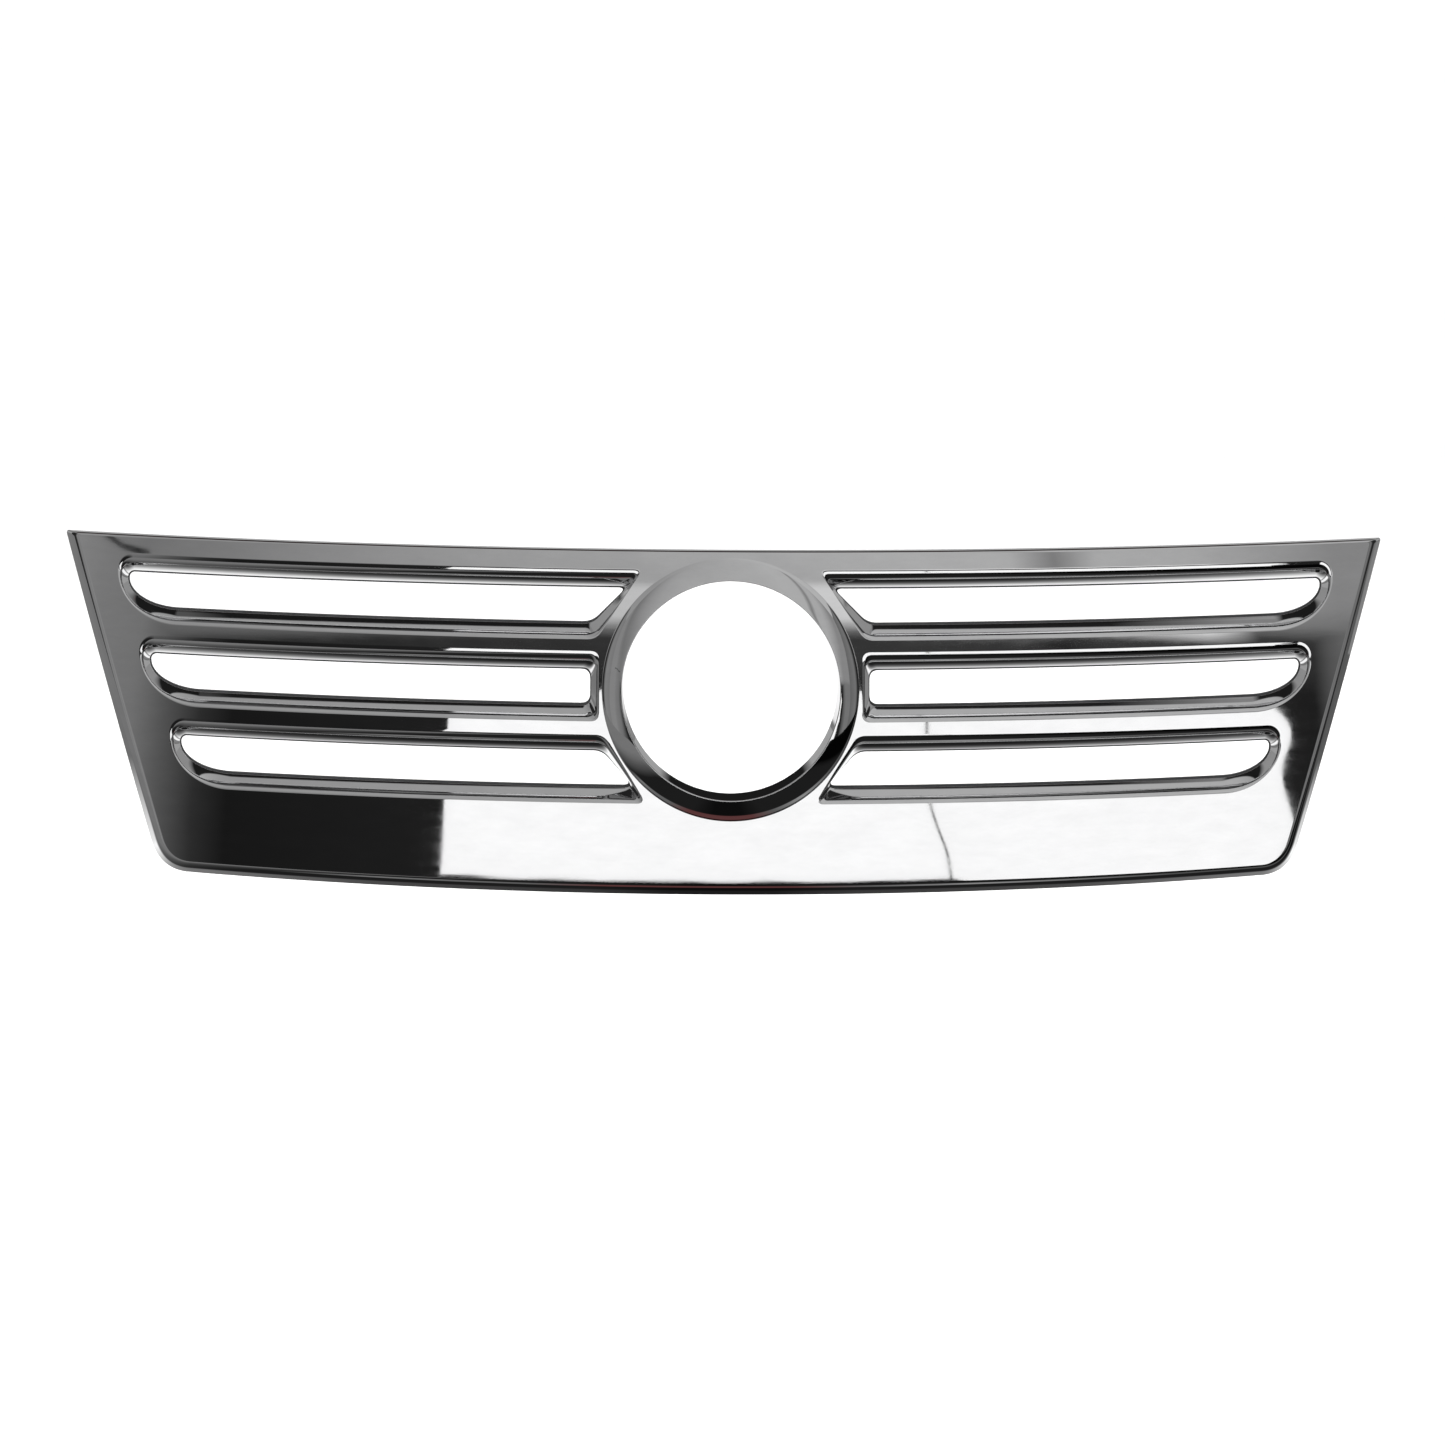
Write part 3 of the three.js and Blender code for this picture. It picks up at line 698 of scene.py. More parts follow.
def zinc_steel():
    """Zinc-plated screw steel with a faint yellow and blue passivation."""
    n = Nodes("zinc_steel")
    film = n.noise(350, detail=3)
    tone = n.ramp(film, [(0.3, (0.50, 0.52, 0.56)), (0.5, (0.62, 0.61, 0.58)), (0.7, (0.60, 0.56, 0.45))])
    n.set(Base_Color=tone, Metallic=1.0, Roughness=n.spread(film, 0.22, 0.42))
    n.bump([(n.noise(2500, detail=2), 0.1, 0.0001)])
    return n.material


def spring_steel():
    """Phosphated spring steel, dark and streaked along the strip."""
    n = Nodes("spring_steel")
    streaks = n.noise(500, detail=4, vector=n.stretched((1, 0.12, 1)))
    n.set(Base_Color=n.ramp(streaks, [(0.3, (0.10, 0.105, 0.115)), (0.7, (0.24, 0.245, 0.26))]), Metallic=1.0,
          Roughness=n.spread(streaks, 0.34, 0.55))
    n.bump([(streaks, 0.15, 0.0001)])
    return n.material


CHROME = chrome_plating()
CHROME_BACK = plated_back()
BLACK = grained_plastic()
NYLON = black_nylon()
RUBBER = seal_rubber("seal_rubber", 60)
GROMMET_RUBBER = seal_rubber("grommet_rubber", 160)
FOAM = pad_foam()
ZINC = zinc_steel()
SPRING = spring_steel()


# ---- Fascia ----
ROLL_STEPS = 9
LIP_STEPS = 6
WALL_STEPS = 7
FILLET = 0.8  # where a slot's wall meets the sheet's rear
SIDES = (1, -1)


def rolled(start, corner, end, line_at, depth_end):
    """The rounded edge from the face into a wall: line_at(inset) is drawn at each step of the curve."""
    rings = []
    for k in range(ROLL_STEPS + 1):
        t = k / ROLL_STEPS
        a, b, c = (1 - t) ** 2, 2 * t * (1 - t), t**2
        rings.append((line_at(a * start + b * corner + c * end), c * depth_end, "smooth"))
    points, depth, _ = rings[-1]
    rings[-1] = (points, depth, "after")
    return rings


def lipped(line_at, rear, thick):
    """A wall's rounded rear lip: line_at(offset, depth) for offsets from 0 to `thick` into the material."""
    rings = []
    for k in range(LIP_STEPS + 1):
        turn = math.pi * k / LIP_STEPS
        offset = thick / 2 * (1 - math.cos(turn))
        depth = rear - thick / 2 + thick / 2 * math.sin(turn)
        hint = {0: "before", LIP_STEPS: "after"}.get(k, "smooth")
        rings.append((line_at(offset, depth), depth, hint))
    return rings


def slot_closing(depth):
    """How much of its draft a slot's wall has closed in by at a depth."""
    share = depth / SLOT_DEPTH
    return share + SLOT_BELLY * share * (1 - share)


def slot_edge(slot, side):
    def wall_line(offset, depth):
        return slot_outline(slot, side, DRAFT * slot_closing(depth) - offset)

    rings = rolled(-SLOT_ROLL, np.zeros(4), DRAFT * slot_closing(SLOT_ROLL_DEPTH),
                   lambda inset: slot_outline(slot, side, inset), SLOT_ROLL_DEPTH)
    for depth in np.linspace(SLOT_ROLL_DEPTH, SLOT_DEPTH - WALL / 2, WALL_STEPS + 1)[1:-1]:
        rings.append((wall_line(0, depth), depth, "smooth"))
    rings += lipped(wall_line, SLOT_DEPTH, WALL)
    rings.append((wall_line(WALL, SKIN + FILLET), SKIN + FILLET, "before"))
    rings.append((wall_line(WALL + FILLET, SKIN), SKIN, "smooth"))
    return rings


def flange_edge():
    def wall_line(offset, depth):
        return outline(FACE_INSET * (1 - depth / FLANGE_DEPTH) + offset)

    rolled_to = FACE_INSET * (1 - EDGE_ROLL_DEPTH / FLANGE_DEPTH)
    rings = rolled(FACE_INSET + EDGE_ROLL, FACE_INSET, rolled_to, outline, EDGE_ROLL_DEPTH)
    rings += lipped(wall_line, FLANGE_DEPTH, WALL)
    rings.append((wall_line(WALL, SKIN + 1.5), SKIN + 1.5, "before"))
    rings.append((outline(FACE_INSET + EDGE_ROLL + 1), SKIN, "smooth"))
    return rings


def bead_edge():
    profile = np.vstack([bezier(*curve, 10) for curve in BEAD_CURVES] + [BEAD_CURVES[-1][-1]])
    rings = []
    for radius, depth in profile:
        points = aperture(radius)
        rise = np.maximum(points[:, 1] / points[:, 1].max(), 0)
        rings.append((points, depth * (1 - BEAD_SINK * rise**2), "smooth"))
    points, depth, _ = rings[-1]
    rings[-1] = (points, depth, "after")
    rings += lipped(lambda offset, depth: aperture(HOLE + offset), BEAD_REAR, WALL)
    rings.append((aperture(BEAD_BACK[0]), SKIN + 1, "before"))
    rings.append((aperture(BEAD_BACK[1]), SKIN, "smooth"))
    return rings


SCREW_NAMES = sorted(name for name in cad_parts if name.startswith("fascia_screw"))


def screw_places():
    """(x, z) of each fascia screw, from the frame."""
    return [node_box(name)[2][[0, 2]] for name in SCREW_NAMES]


def fascia():
    shape = Shape()
    edges = [flange_edge(), bead_edge()] + [slot_edge(slot, side) for slot in SLOTS for side in SIDES]
    moulding(shape, curved, edges, spacing=9, back_rings=LIP_STEPS // 2 + 2)
    bosses = len(shape.faces)
    for x, z in screw_places():
        slope = BOSS_RADIUS * steepness(x, z)
        behind_wall = z > SLOTS[0][0] and abs(x) < SLOTS[0][1]
        near = face(x, z) + (BOSS_START if behind_wall else slope + GAP)
        far = face(x, z) + CARRIER_DEPTH - slope - 0.5
        cylinder(shape, (x, z), BOSS_RADIUS, near, far, draft=0.3)
    shape.indices[bosses:] = [1] * (len(shape.faces) - bosses)
    piece("fascia_shell", shape, "chrome_plating", [CHROME, CHROME_BACK])


# ---- Carrier ----
def carrier_outline_edge():
    near, far = CARRIER_DEPTH, CARRIER_BACK
    inner = CARRIER_INSET + RIB
    return [
        (outline(CARRIER_INSET + 0.6), near, "smooth"),
        (outline(CARRIER_INSET + 0.2), near + 0.2, "smooth"),
        (outline(CARRIER_INSET), near + 0.6, "after"),
        (outline(CARRIER_INSET), RIM_DEPTH - 0.5, "before"),
        (outline(CARRIER_INSET + 0.15), RIM_DEPTH - 0.15, "smooth"),
        (outline(CARRIER_INSET + 0.5), RIM_DEPTH, "smooth"),
        (outline(inner - 0.5), RIM_DEPTH, "smooth"),
        (outline(inner - 0.15), RIM_DEPTH - 0.15, "smooth"),
        (outline(inner), RIM_DEPTH - 0.5, "after"),
        (outline(inner), far + 1, "before"),
        (outline(inner + 0.3), far + 0.3, "smooth"),
        (outline(inner + 1), far, "smooth"),
    ]


def carrier_screw_hole(x, z):
    return plain_edge(lambda grow: circle((x, z), SCREW_HOLE - grow, 20), CARRIER_DEPTH, CARRIER_BACK, 0.3)


def carrier_slot(slot, side):
    inset = DRAFT * CARRIER_DRAFT
    return plain_edge(lambda grow: slot_outline(slot, side, inset + grow), CARRIER_DEPTH, CARRIER_BACK)


def carrier_sheet(shape):
    edges = [carrier_outline_edge()]
    edges.append(plain_edge(lambda grow: aperture(CARRIER_HOLE - grow), CARRIER_DEPTH, CARRIER_BACK))
    edges += [carrier_slot(slot, side) for slot in SLOTS for side in SIDES]
    edges += [carrier_screw_hole(x, z) for x, z in screw_places()]
    moulding(shape, curved, edges, spacing=12)


def carrier_ribs(shape):
    def rib(x0, x1, z0, z1):
        block(shape, (x0, CARRIER_ROOT, z0), (x1, RIB_DEPTH, z1))

    for side in SIDES:
        for z in BAR_RIB_Z:
            for span in BAR_RIB_SPANS:
                rib(*sorted(side * x for x in span), z - RIB / 2, z + RIB / 2)
    rib(LOWER_RIB_X[0], LOWER_RIB_X[-1], LOWER_RIB_Z - RIB / 2, LOWER_RIB_Z + RIB / 2)
    for x in LOWER_RIB_X:
        rib(x - RIB / 2, x + RIB / 2, LOWER_RIB_END, LOWER_RIB_Z)


def carrier_pads(shape):
    """Thick round pads under the screw heads, each with its clearance hole."""
    for x, z in screw_places():
        near, far = face(x, z) + CARRIER_DEPTH + PAD_RADIUS * steepness(x, z), face(x, z) + PAD_END
        profile = [(SCREW_HOLE, near), (SCREW_HOLE, far - 0.3), (SCREW_HOLE + 0.3, far),
                   (PAD_RADIUS - 0.6, far), (PAD_RADIUS - 0.15, far - 0.15), (PAD_RADIUS, far - 0.6),
                   (PAD_RADIUS, near), (SCREW_HOLE, near)]
        lathe(shape, profile, rearwards(x, 0, z))


def rounded_plate(x0, x1, y_near, y_far, corner):
    """A plate's outline on (x, y): its near and far edges follow the bow, and its far corners are rounded."""
    points = [np.column_stack([np.linspace(x0, x1, 12), y_near(np.linspace(x0, x1, 12))])]
    xs = np.linspace(x1 - corner, x0 + corner, 12)
    right, left = y_far(np.array([x1]))[0], y_far(np.array([x0]))[0]
    points.append(bezier((x1, right - corner), (x1, right), (x1 - corner, y_far(xs[:1])[0]), 6))
    points.append(np.column_stack([xs, y_far(xs)]))
    points.append(bezier((x0 + corner, y_far(xs[-1:])[0]), (x0, left), (x0, left - corner), 6)[1:])
    points.append([(x0, left - corner)])
    return np.vstack(points)


def grown(points, by):
    """A closed line moved outwards from its own middle by `by`, with its sides kept parallel."""
    middle = points.mean(axis=0)
    half = np.abs(points - middle).max(axis=0)
    return middle + (points - middle) * (1 + by / half)


def upper_tab(shape, x):
    hole_y = face(x, TAB_BOTTOM) + TAB_HOLE_DEPTH
    half = TAB_WIDTH / 2
    plate = rounded_plate(x - half, x + half, lambda xs: face(xs, TAB_BOTTOM) + CARRIER_ROOT,
                          lambda xs: face(xs, TAB_BOTTOM) + TAB_REACH, corner=5)
    moulding(shape, level(TAB_BOTTOM + TAB_THICK), [
        plain_edge(lambda grow: grown(plate, grow), 0, TAB_THICK),
        plain_edge(lambda grow: circle((x, hole_y), TAB_HOLE - grow, 40), 0, TAB_THICK, 0.4),
    ], spacing=5)
    width, height, reach = GUSSET
    for side in SIDES:
        middle = x + side * (TAB_WIDTH - width) / 2
        block(shape, (middle - width / 2, CARRIER_ROOT, TAB_BOTTOM + TAB_THICK / 2),
              (middle + width / 2, reach, TAB_BOTTOM + TAB_THICK + height), 0.4)


def locating_pin(shape, x):
    """A pin with four webs at its foot."""
    base = face(x, LOCATOR_Z)
    near = base + CARRIER_ROOT
    cylinder(shape, (x, LOCATOR_Z), LOCATOR_RADIUS, near, base + LOCATOR_REACH, 0.9)
    reach, end, half = LOCATOR_WEB
    for dx, dz in ((0, reach), (reach, 0), (0, -reach), (-reach, 0)):
        low = (min(x, x + dx) - half, near, min(LOCATOR_Z, LOCATOR_Z + dz) - half)
        high = (max(x, x + dx) + half, base + end, max(LOCATOR_Z, LOCATOR_Z + dz) + half)
        block(shape, low, high, 0.3, bowed=False)


def carrier_lugs(shape):
    for x in TAB_XS:
        upper_tab(shape, x)
    for x in BLADE_XS:
        block(shape, (x - BLADE_WIDTH / 2, CARRIER_ROOT, BLADE_BOTTOM),
              (x + BLADE_WIDTH / 2, BLADE_REACH, BLADE_BOTTOM + BLADE_THICK), 0.6, 4)
    for side in SIDES:
        locating_pin(shape, side * LOCATOR_X)


def flat_topped(points, top):
    """A line of the badge plane with everything above z = top pulled down level."""
    cut = points.copy()
    cut[:, 1] = np.minimum(cut[:, 1], top)
    return cut


def ring_screw_places():
    """(x, z) of the four ring screws, in the badge plane."""
    return arc((0, 0), (RING_SCREW_CIRCLE, RING_SCREW_CIRCLE), math.pi / 4, 9 * math.pi / 4, 4)


def ring_edges(inner, outer, near, far, bore):
    """The outline, the inside and the four screw holes of a flat ring in the badge plane."""
    top = RING_FLAT / math.cos(LEAN) + near * math.sin(LEAN)
    edges = [
        plain_edge(lambda grow: flat_topped(circle((0, 0), outer + grow, 160), top + grow), near, far, 0.3),
        plain_edge(lambda grow: circle((0, 0), inner - grow, 160), near, far, 0.3),
    ]
    for centre in ring_screw_places():
        edges.append(plain_edge(lambda grow, centre=centre: circle(centre, bore - grow, 28), near, far, 0.25))
    return edges


def carrier():
    shape = Shape()
    carrier_sheet(shape)
    carrier_ribs(shape)
    carrier_pads(shape)
    carrier_lugs(shape)
    inner, outer, thick = SEAT
    moulding(shape, seated, ring_edges(inner, outer, -thick, 0, SEAT_PILOT), spacing=6)
    piece("carrier_frame", shape, "black_plastic", [BLACK], 40)


def badge_ring():
    shape = Shape()
    inner, outer, thick = RING
    moulding(shape, seated, ring_edges(inner, outer, GAP, GAP + thick, RING_SCREW_BORE), spacing=6)
    piece("badge_backing_ring", shape, "black_plastic", [BLACK], 40)


# ---- Screws ----
def screw(name, place, head, head_height, shank, length, pitch):
    """A pan-head self-tapping screw on +Z: above z = 0 its head with a six-lobed recess, threads below."""
    recess, deep = head * 0.46, head_height * 0.7
    neck_length, tip_length, lobe, thread = 1.2, 1.8, 0.16, 0.35
    hollow = [(0, head_height - deep - 0.2), (recess * 0.9, head_height - deep), (recess, head_height - 0.05),
              (recess + 0.15, head_height)]
    dome_shares = [(0.72, 0.97), (0.86, 0.88), (0.95, 0.72), (1, 0.5), (1, 0.18), (0.97, 0.04), (0.9, 0)]
    dome = [(head * r, head_height * h) for r, h in dome_shares]
    neck = [(shank, 0), (shank, -neck_length)]
    rings = int((length - neck_length - tip_length) / pitch * 5)
    threads = [(shank, -neck_length - (k + 1) * pitch / 5) for k in range(rings)]
    tip = [(shank * 0.6, -length + tip_length / 2), (0, -length)]
    first_thread = len(hollow + dome + neck)

    def radius_at(k, radius, height, turns):
        if 1 <= k < len(hollow):
            return radius * (1 + lobe * np.cos(6 * turns))
        if first_thread <= k < first_thread + rings:
            phase = (height / pitch + turns / (2 * math.pi)) % 1
            return radius - thread + thread * (1 - np.abs(2 * phase - 1)) ** 2 * 1.6
        return np.full_like(turns, radius)

    shape = Shape()
    lathe(shape, hollow + dome + neck + threads + tip, place, 48, radius_at)
    piece(name, shape, "zinc_steel", [ZINC], 38)


def fascia_screws():
    for name in SCREW_NAMES:
        _, high, middle = node_box(name)
        screw(name, rearwards(middle[0], high[1] - FASCIA_SCREW["head_height"], middle[2]), **FASCIA_SCREW)


def ring_screws():
    under_head = RING[2] - RING_SCREW_DROP + 2 * GAP
    for i, (x, z) in enumerate(ring_screw_places()):
        turned = rearwards(x, under_head, z)
        screw(f"ring_screw_{i + 1}", lambda points, turned=turned: on_seat(turned(points)), **RING_SCREW)


# ---- Push retainers ----
def upright(name):
    """What puts a piece made on +Z in a frame node's place, with z = 0 at its top, and the node's height."""
    low, high, middle = node_box(name)
    return lambda points: points + (middle[0], middle[1], high[2]), high[2] - low[2]


def retainer_body(number):
    name = f"retainer_body_{number}"
    place, tall = upright(name)
    head, thick, shank, bore = 9, 2, 3.9, 2.4
    legs = [(bore, -tall), (shank * 0.78, -tall), (shank * 0.98, 2 - tall), (shank, 3.5 - tall),
            (shank * 0.9, -6.5)]
    flange = [(shank * 0.9, -thick), (head - 0.3, -thick), (head, 0.3 - thick), (head, 0.7 - thick),
              (head * 0.93, -0.5), (head * 0.84, -0.12), (head * 0.8, 0)]
    dish = [(6.1, 0), (5.9, -0.15), (5.9, -0.25), (bore + 0.3, -0.25), (bore, -0.5), (bore, -tall)]

    def radius_at(k, radius, height, turns):
        """Four legs below the head, with slits between them, and two pry notches in the head."""
        if 1 <= k <= 4:
            return np.where(np.abs(np.sin(2 * turns)) < 0.2, bore + 0.5, radius)
        if 6 <= k <= 9:
            return radius - 1.1 * np.exp(-((np.sin(turns) / 0.22) ** 2))
        return np.full_like(turns, radius)

    shape = Shape()
    lathe(shape, legs + flange + dish, place, 80, radius_at)
    piece(name, shape, "black_nylon", [NYLON], 32)


def retainer_pin(number):
    name = f"retainer_pin_{number}"
    place, tall = upright(name)
    head, thick, shaft = 5.5, 1.6, 2
    recess = [(0, -1.25), (1.5, -1.2), (1.75, -0.1), (1.9, 0)]
    rest = [(head * 0.8, 0), (head * 0.88, -0.08), (head * 0.96, -0.35), (head, -0.8), (head, 0.25 - thick),
            (head - 0.25, -thick), (shaft, -thick), (shaft, -4.5), (shaft * 0.85, -5), (shaft * 0.85, -6),
            (shaft, -6.5), (shaft, 1.5 - tall), (shaft * 0.6, -tall), (0, -tall)]

    def radius_at(k, radius, height, turns):
        """A cross recess in the head."""
        if 1 <= k <= 3:
            return radius * (0.62 + 0.6 * np.abs(np.cos(2 * turns)) ** 6)
        return np.full_like(turns, radius)

    shape = Shape()
    lathe(shape, recess + rest, place, 64, radius_at)
    piece(name, shape, "black_nylon", [NYLON], 32, body=name)


# ---- Spring clips ----
def strip_points(high_y):
    """The clip's centre line on (y, z), from its upper mouth round the blade's end to the lower mouth."""
    grip, lead, barb, sheet = 15, 2, 2.2, 0.9
    inside = BLADE_THICK / 2 + GAP + sheet / 2
    end = high_y - sheet / 2
    start = end - 1.1
    upper = [
        (start - grip - lead, inside + barb), (start - grip, inside), (start - grip * 0.6, inside + 0.1),
        (start - grip * 0.48, inside + barb * 0.9), (start - grip * 0.2, inside), (end - 1, inside),
    ]
    turns = np.linspace(math.pi / 2, -math.pi / 2, 9)[1:-1]
    turn = [(end - 1 + math.cos(a), inside * math.sin(a)) for a in turns]
    return upper + turn + [(y, -z) for y, z in reversed(upper)]


def spring_clip(number):
    name = f"spring_clip_{number}"
    low, high, middle = node_box(name)
    centre = through(strip_points(high[1]), 5)
    along = np.gradient(centre, axis=0)
    across = np.column_stack([-along[:, 1], along[:, 0]]) / np.linalg.norm(along, axis=1, keepdims=True)
    half, thick, soft = (high[0] - low[0]) / 2, 0.42, 0.15
    section = [(-half + soft, -thick), (half - soft, -thick), (half, -thick + soft), (half, thick - soft),
               (half - soft, thick), (-half + soft, thick), (-half, thick - soft), (-half, -thick + soft)]
    shape = Shape()
    swept(shape, [[(middle[0] + x, c[0] + a[0] * s, middle[2] + c[1] + a[1] * s) for x, s in section]
                  for c, a in zip(centre, across)])
    piece(name, shape, "spring_steel", [SPRING], 35)


# ---- Rubber and foam ----
def grommet(name):
    low, high, middle = node_box(name)
    long, outer, waist, bore = high[1] - low[1], 8, 6.4, 4.3
    near = [(bore, 0), (bore + 0.4, 0), (outer - 0.6, 0), (outer - 0.15, 0.15), (outer, 0.6),
            (outer, long * 0.35 - 0.4), (outer - 0.4, long * 0.35)]
    groove = [(waist + 0.3, long * 0.35 + 0.1), (waist, long * 0.4), (waist, long * 0.55),
              (waist + 0.4, long * 0.6)]
    far = [(outer - 0.4, long * 0.61), (outer, long * 0.65), (outer * 0.97, long * 0.72),
           (outer * 0.82, long - 0.5), (outer * 0.76, long), (bore + 0.5, long), (bore, long - 0.5),
           (bore, 0)]
    shape = Shape()
    lathe(shape, near + groove + far, rearwards(middle[0], low[1], middle[2]), 56)
    piece(name, shape, "grommet_rubber", [GROMMET_RUBBER], 50)


def top_seal():
    """A channel over the rim's edge, with a sponge bulb behind it."""
    rim_z = TOP - CARRIER_INSET[1] - RIB / 2
    slot_half = RIB / 2 + GAP
    outside = slot_half + SEAL_ARM
    centre = SEAL_FAR + SEAL_BULB * 0.7
    turns = np.radians(np.linspace(100, -100, 25))
    bulb = [(centre + SEAL_BULB * math.cos(t), SEAL_BULB * math.sin(t)) for t in turns]
    upper = [(SEAL_NEAR, slot_half + 0.4), (SEAL_NEAR, outside - 0.4), (SEAL_NEAR + 0.12, outside - 0.12),
             (SEAL_NEAR + 0.4, outside), (SEAL_FAR - 1, outside), (SEAL_FAR - 0.2, outside + 0.05)]
    throat = [(SEAL_WEB, slot_half), (SEAL_NEAR + 0.4, slot_half)]
    lower, throat_low = [[(y, -z) for y, z in reversed(part)] for part in (upper, throat)]
    section = np.array(upper + bulb + lower + throat_low + throat)
    middle = section.mean(axis=0)
    sections = []
    for x in np.linspace(-SEAL_HALF_LENGTH, SEAL_HALF_LENGTH, 90):
        shrink = 1 - 0.3 / SEAL_BULB if abs(x) == SEAL_HALF_LENGTH else 1
        sections.append([(x, face(x, rim_z) + y, rim_z + z) for y, z in middle + (section - middle) * shrink])
    shape = Shape()
    swept(shape, sections)
    piece("top_seal", shape, "seal_rubber", [RUBBER], 42)


def rest_pad(name):
    """A foam strip with soft edges."""
    low, high, _ = node_box(name)
    near, far = 17.5, 25.5
    shape = Shape()
    block(shape, (low[0], near, low[2]), (high[0], far, high[2]), 0.9, 2.5)
    obj = piece(name, shape, "pad_foam", [FOAM], 60)


# ---- Studio ----
def glow(name, value):
    """An emission material; value is a number, or a function that builds a tone from the material's nodes."""
    n = Nodes(name)
    emission = n.add("ShaderNodeEmission", {"Color": value(n) if callable(value) else value})
    n.feed(n.tree.nodes["Material Output"].inputs["Surface"], emission.outputs["Emission"])
    return n.material


def stage_face(name, corners, material):
    mesh = bpy.data.meshes.new(name)
    mesh.from_pydata(corners, [], [tuple(range(len(corners)))])
    mesh.materials.append(material)
    obj = placed(name, mesh)
    return obj


def card(name, corners, tone):
    """A glowing card that only mirrors and gloss see: it paints a reflection into the plating and is no lamp.
    """
    obj = stage_face(name, corners, glow(name, tone))
    obj.visible_camera = False
    obj.visible_diffuse = False
    obj.visible_shadow = False
    obj.visible_transmission = False


# The room of glowing cards that paints the plating's reflections, in the frame's metres. A tone of 1 is
# white.
CARD_Y = -3.6
WALL_Y = -3.9
REAR_Y = 5.0
ROOM_HALF = 6.0
ROOM_TOP = 6.0
ROOM_FOOT = -0.6
TABLE_DROP = 0.12
TABLE_REAR = 1.0
WHITE = 1.14
WHITE_LEFT = -1.32
WHITE_LOW = 0.17
WHITE_HIGH = 1.16
WHITE_RIGHT_LOW = -0.28
# The white cards' edges and a painted dark reflection line high on the left, as (x, z)
GAP_LINE = [(1.22, WHITE_LOW), (1.20, 0.30), (1.15, 0.45), (1.115, 0.60), (1.12, 0.85), (1.14, WHITE_HIGH)]
GAP_HALF = 0.006
RIGHT_LINE = [(3.38, WHITE_LOW), (3.53, 0.34), (3.46, 0.62), (3.48, 0.76), (3.57, 0.90), (3.55, 1.02),
              (3.38, WHITE_HIGH)]
DARK_LINE = [(-4.42, 2.36), (-4.0, 2.26), (-3.75, 2.14), (-3.5, 2.07)]
DARK_HALF = 0.018
FLOOR_DROP = 0.30
FLOOR_HALF = 40
LAMP_SIZE = 1.6
LAMP_AIM = (0, 0, -0.1)


def upright_card(name, points, y, tone):
    card(name, [(x, y, z) for x, z in points], tone)


def wider(points, half):
    """A closed strip about a line."""
    return [*(points - (0, half)), *(points[::-1] + (0, half))]


def front_wall_reflection_tone(n):
    """Painted reflection on the wall beyond the white cards: black low down, grey above and at the far sides,
    with a painted highlight band high up.
    """
    low, high = [(0, 0.018), (1.3, 0.020)], [(2.1, 0.46), (6, 0.46)]
    upwards = n.along("Z", [*low, (1.42, 0.036), (1.58, 0.040), (1.66, 0.26), (1.84, 0.42), *high])
    higher = n.along("Z", [*low, (1.42, 0.040), (1.66, 0.050), (1.78, 0.30), (1.94, 0.42), *high])
    slant = n.along("X", [
        (-4.6, 0.33), (-3.1, 0.50), (-2.4, 0.62), (-1.2, 0.83), (0, 0.95), (1, 1.05), (1.8, 1.05), (2.4, 0)])
    right_slant = n.along("X", [(1.8, 0), (2.4, 1.0), (3, 1.0), (3.6, 0.85), (4.2, 0.70), (4.6, 0.60)])
    left = n.along("X", [(-4.5, 0.26), (-4.2, 0.22), (-3.7, 0.19), (-3.4, 0.10), (-3.1, 0.03), (-2.7, 0)])
    right = n.along("X", [(4.1, 0), (4.35, 0.10), (4.8, 0.20)])
    # A painted highlight: a bright band high on the wall, which the rolled slot edges mirror as a light line
    painted_highlight_height = n.along("Z", [(1.60, 0), (1.70, 0.9), (1.88, 0.9), (1.98, 0.1), (2.1, 0)])
    painted_highlight_width = n.along("X", [(-1.4, 0), (-1.0, 0.6), (0.8, 0.8), (1.2, 1), (3.2, 1), (3.7, 0)])
    pairs = ((upwards, slant), (higher, right_slant), (painted_highlight_height, painted_highlight_width))
    return n.joined("MAXIMUM", left, right, *[n.joined("MULTIPLY", *pair) for pair in pairs])


def side_wall_reflection_tone(near, middle):
    """A side wall's painted reflection: grey towards the front, black from abreast of the part."""
    return lambda n: n.along("Y", [(WALL_Y, near), (-2, middle), (-0.6, 0.02), (REAR_Y, 0.02)])


# A dull red, painted into the plating's reflections from the rear wall and from the strip under the part
REFLECTED_RED = (0.12, 0.045, 0.045)


def rear_wall_reflection_tone(n):
    """Painted reflection on the rear wall: black with a grey foot, a dull red band half way up, and grey at
    the sides.
    """
    upwards = n.along("Z", [
        (ROOM_FOOT, 0.38), (0.6, 0.38), (0.9, 0.012), (2.9, 0.012), (3.0, REFLECTED_RED), (3.5, REFLECTED_RED), (3.6, 0.012),
        (ROOM_TOP, 0.012)])
    sides = n.along("X", [(-2.4, 0.30), (-1.8, 0), (1.8, 0), (2.4, 0.30)])
    return n.joined("MAXIMUM", upwards, sides)


def ceiling_reflection_tone(n):
    """Painted reflection overhead: grey, brighter to the right, and black behind."""
    backwards = n.along("Y", [(WALL_Y, 0.44), (2.3, 0.40), (4.3, 0.40), (4.45, 0.012), (REAR_Y, 0.012)])
    slant = n.along("X", [(-3, 0.75), (-1, 0.90), (1, 1.15), (3, 1.20)])
    sides = n.along("X", [(-2.4, 0.25), (-1.8, 0), (1.8, 0), (2.4, 0.25)])
    return n.joined("MAXIMUM", n.joined("MULTIPLY", backwards, slant), sides)


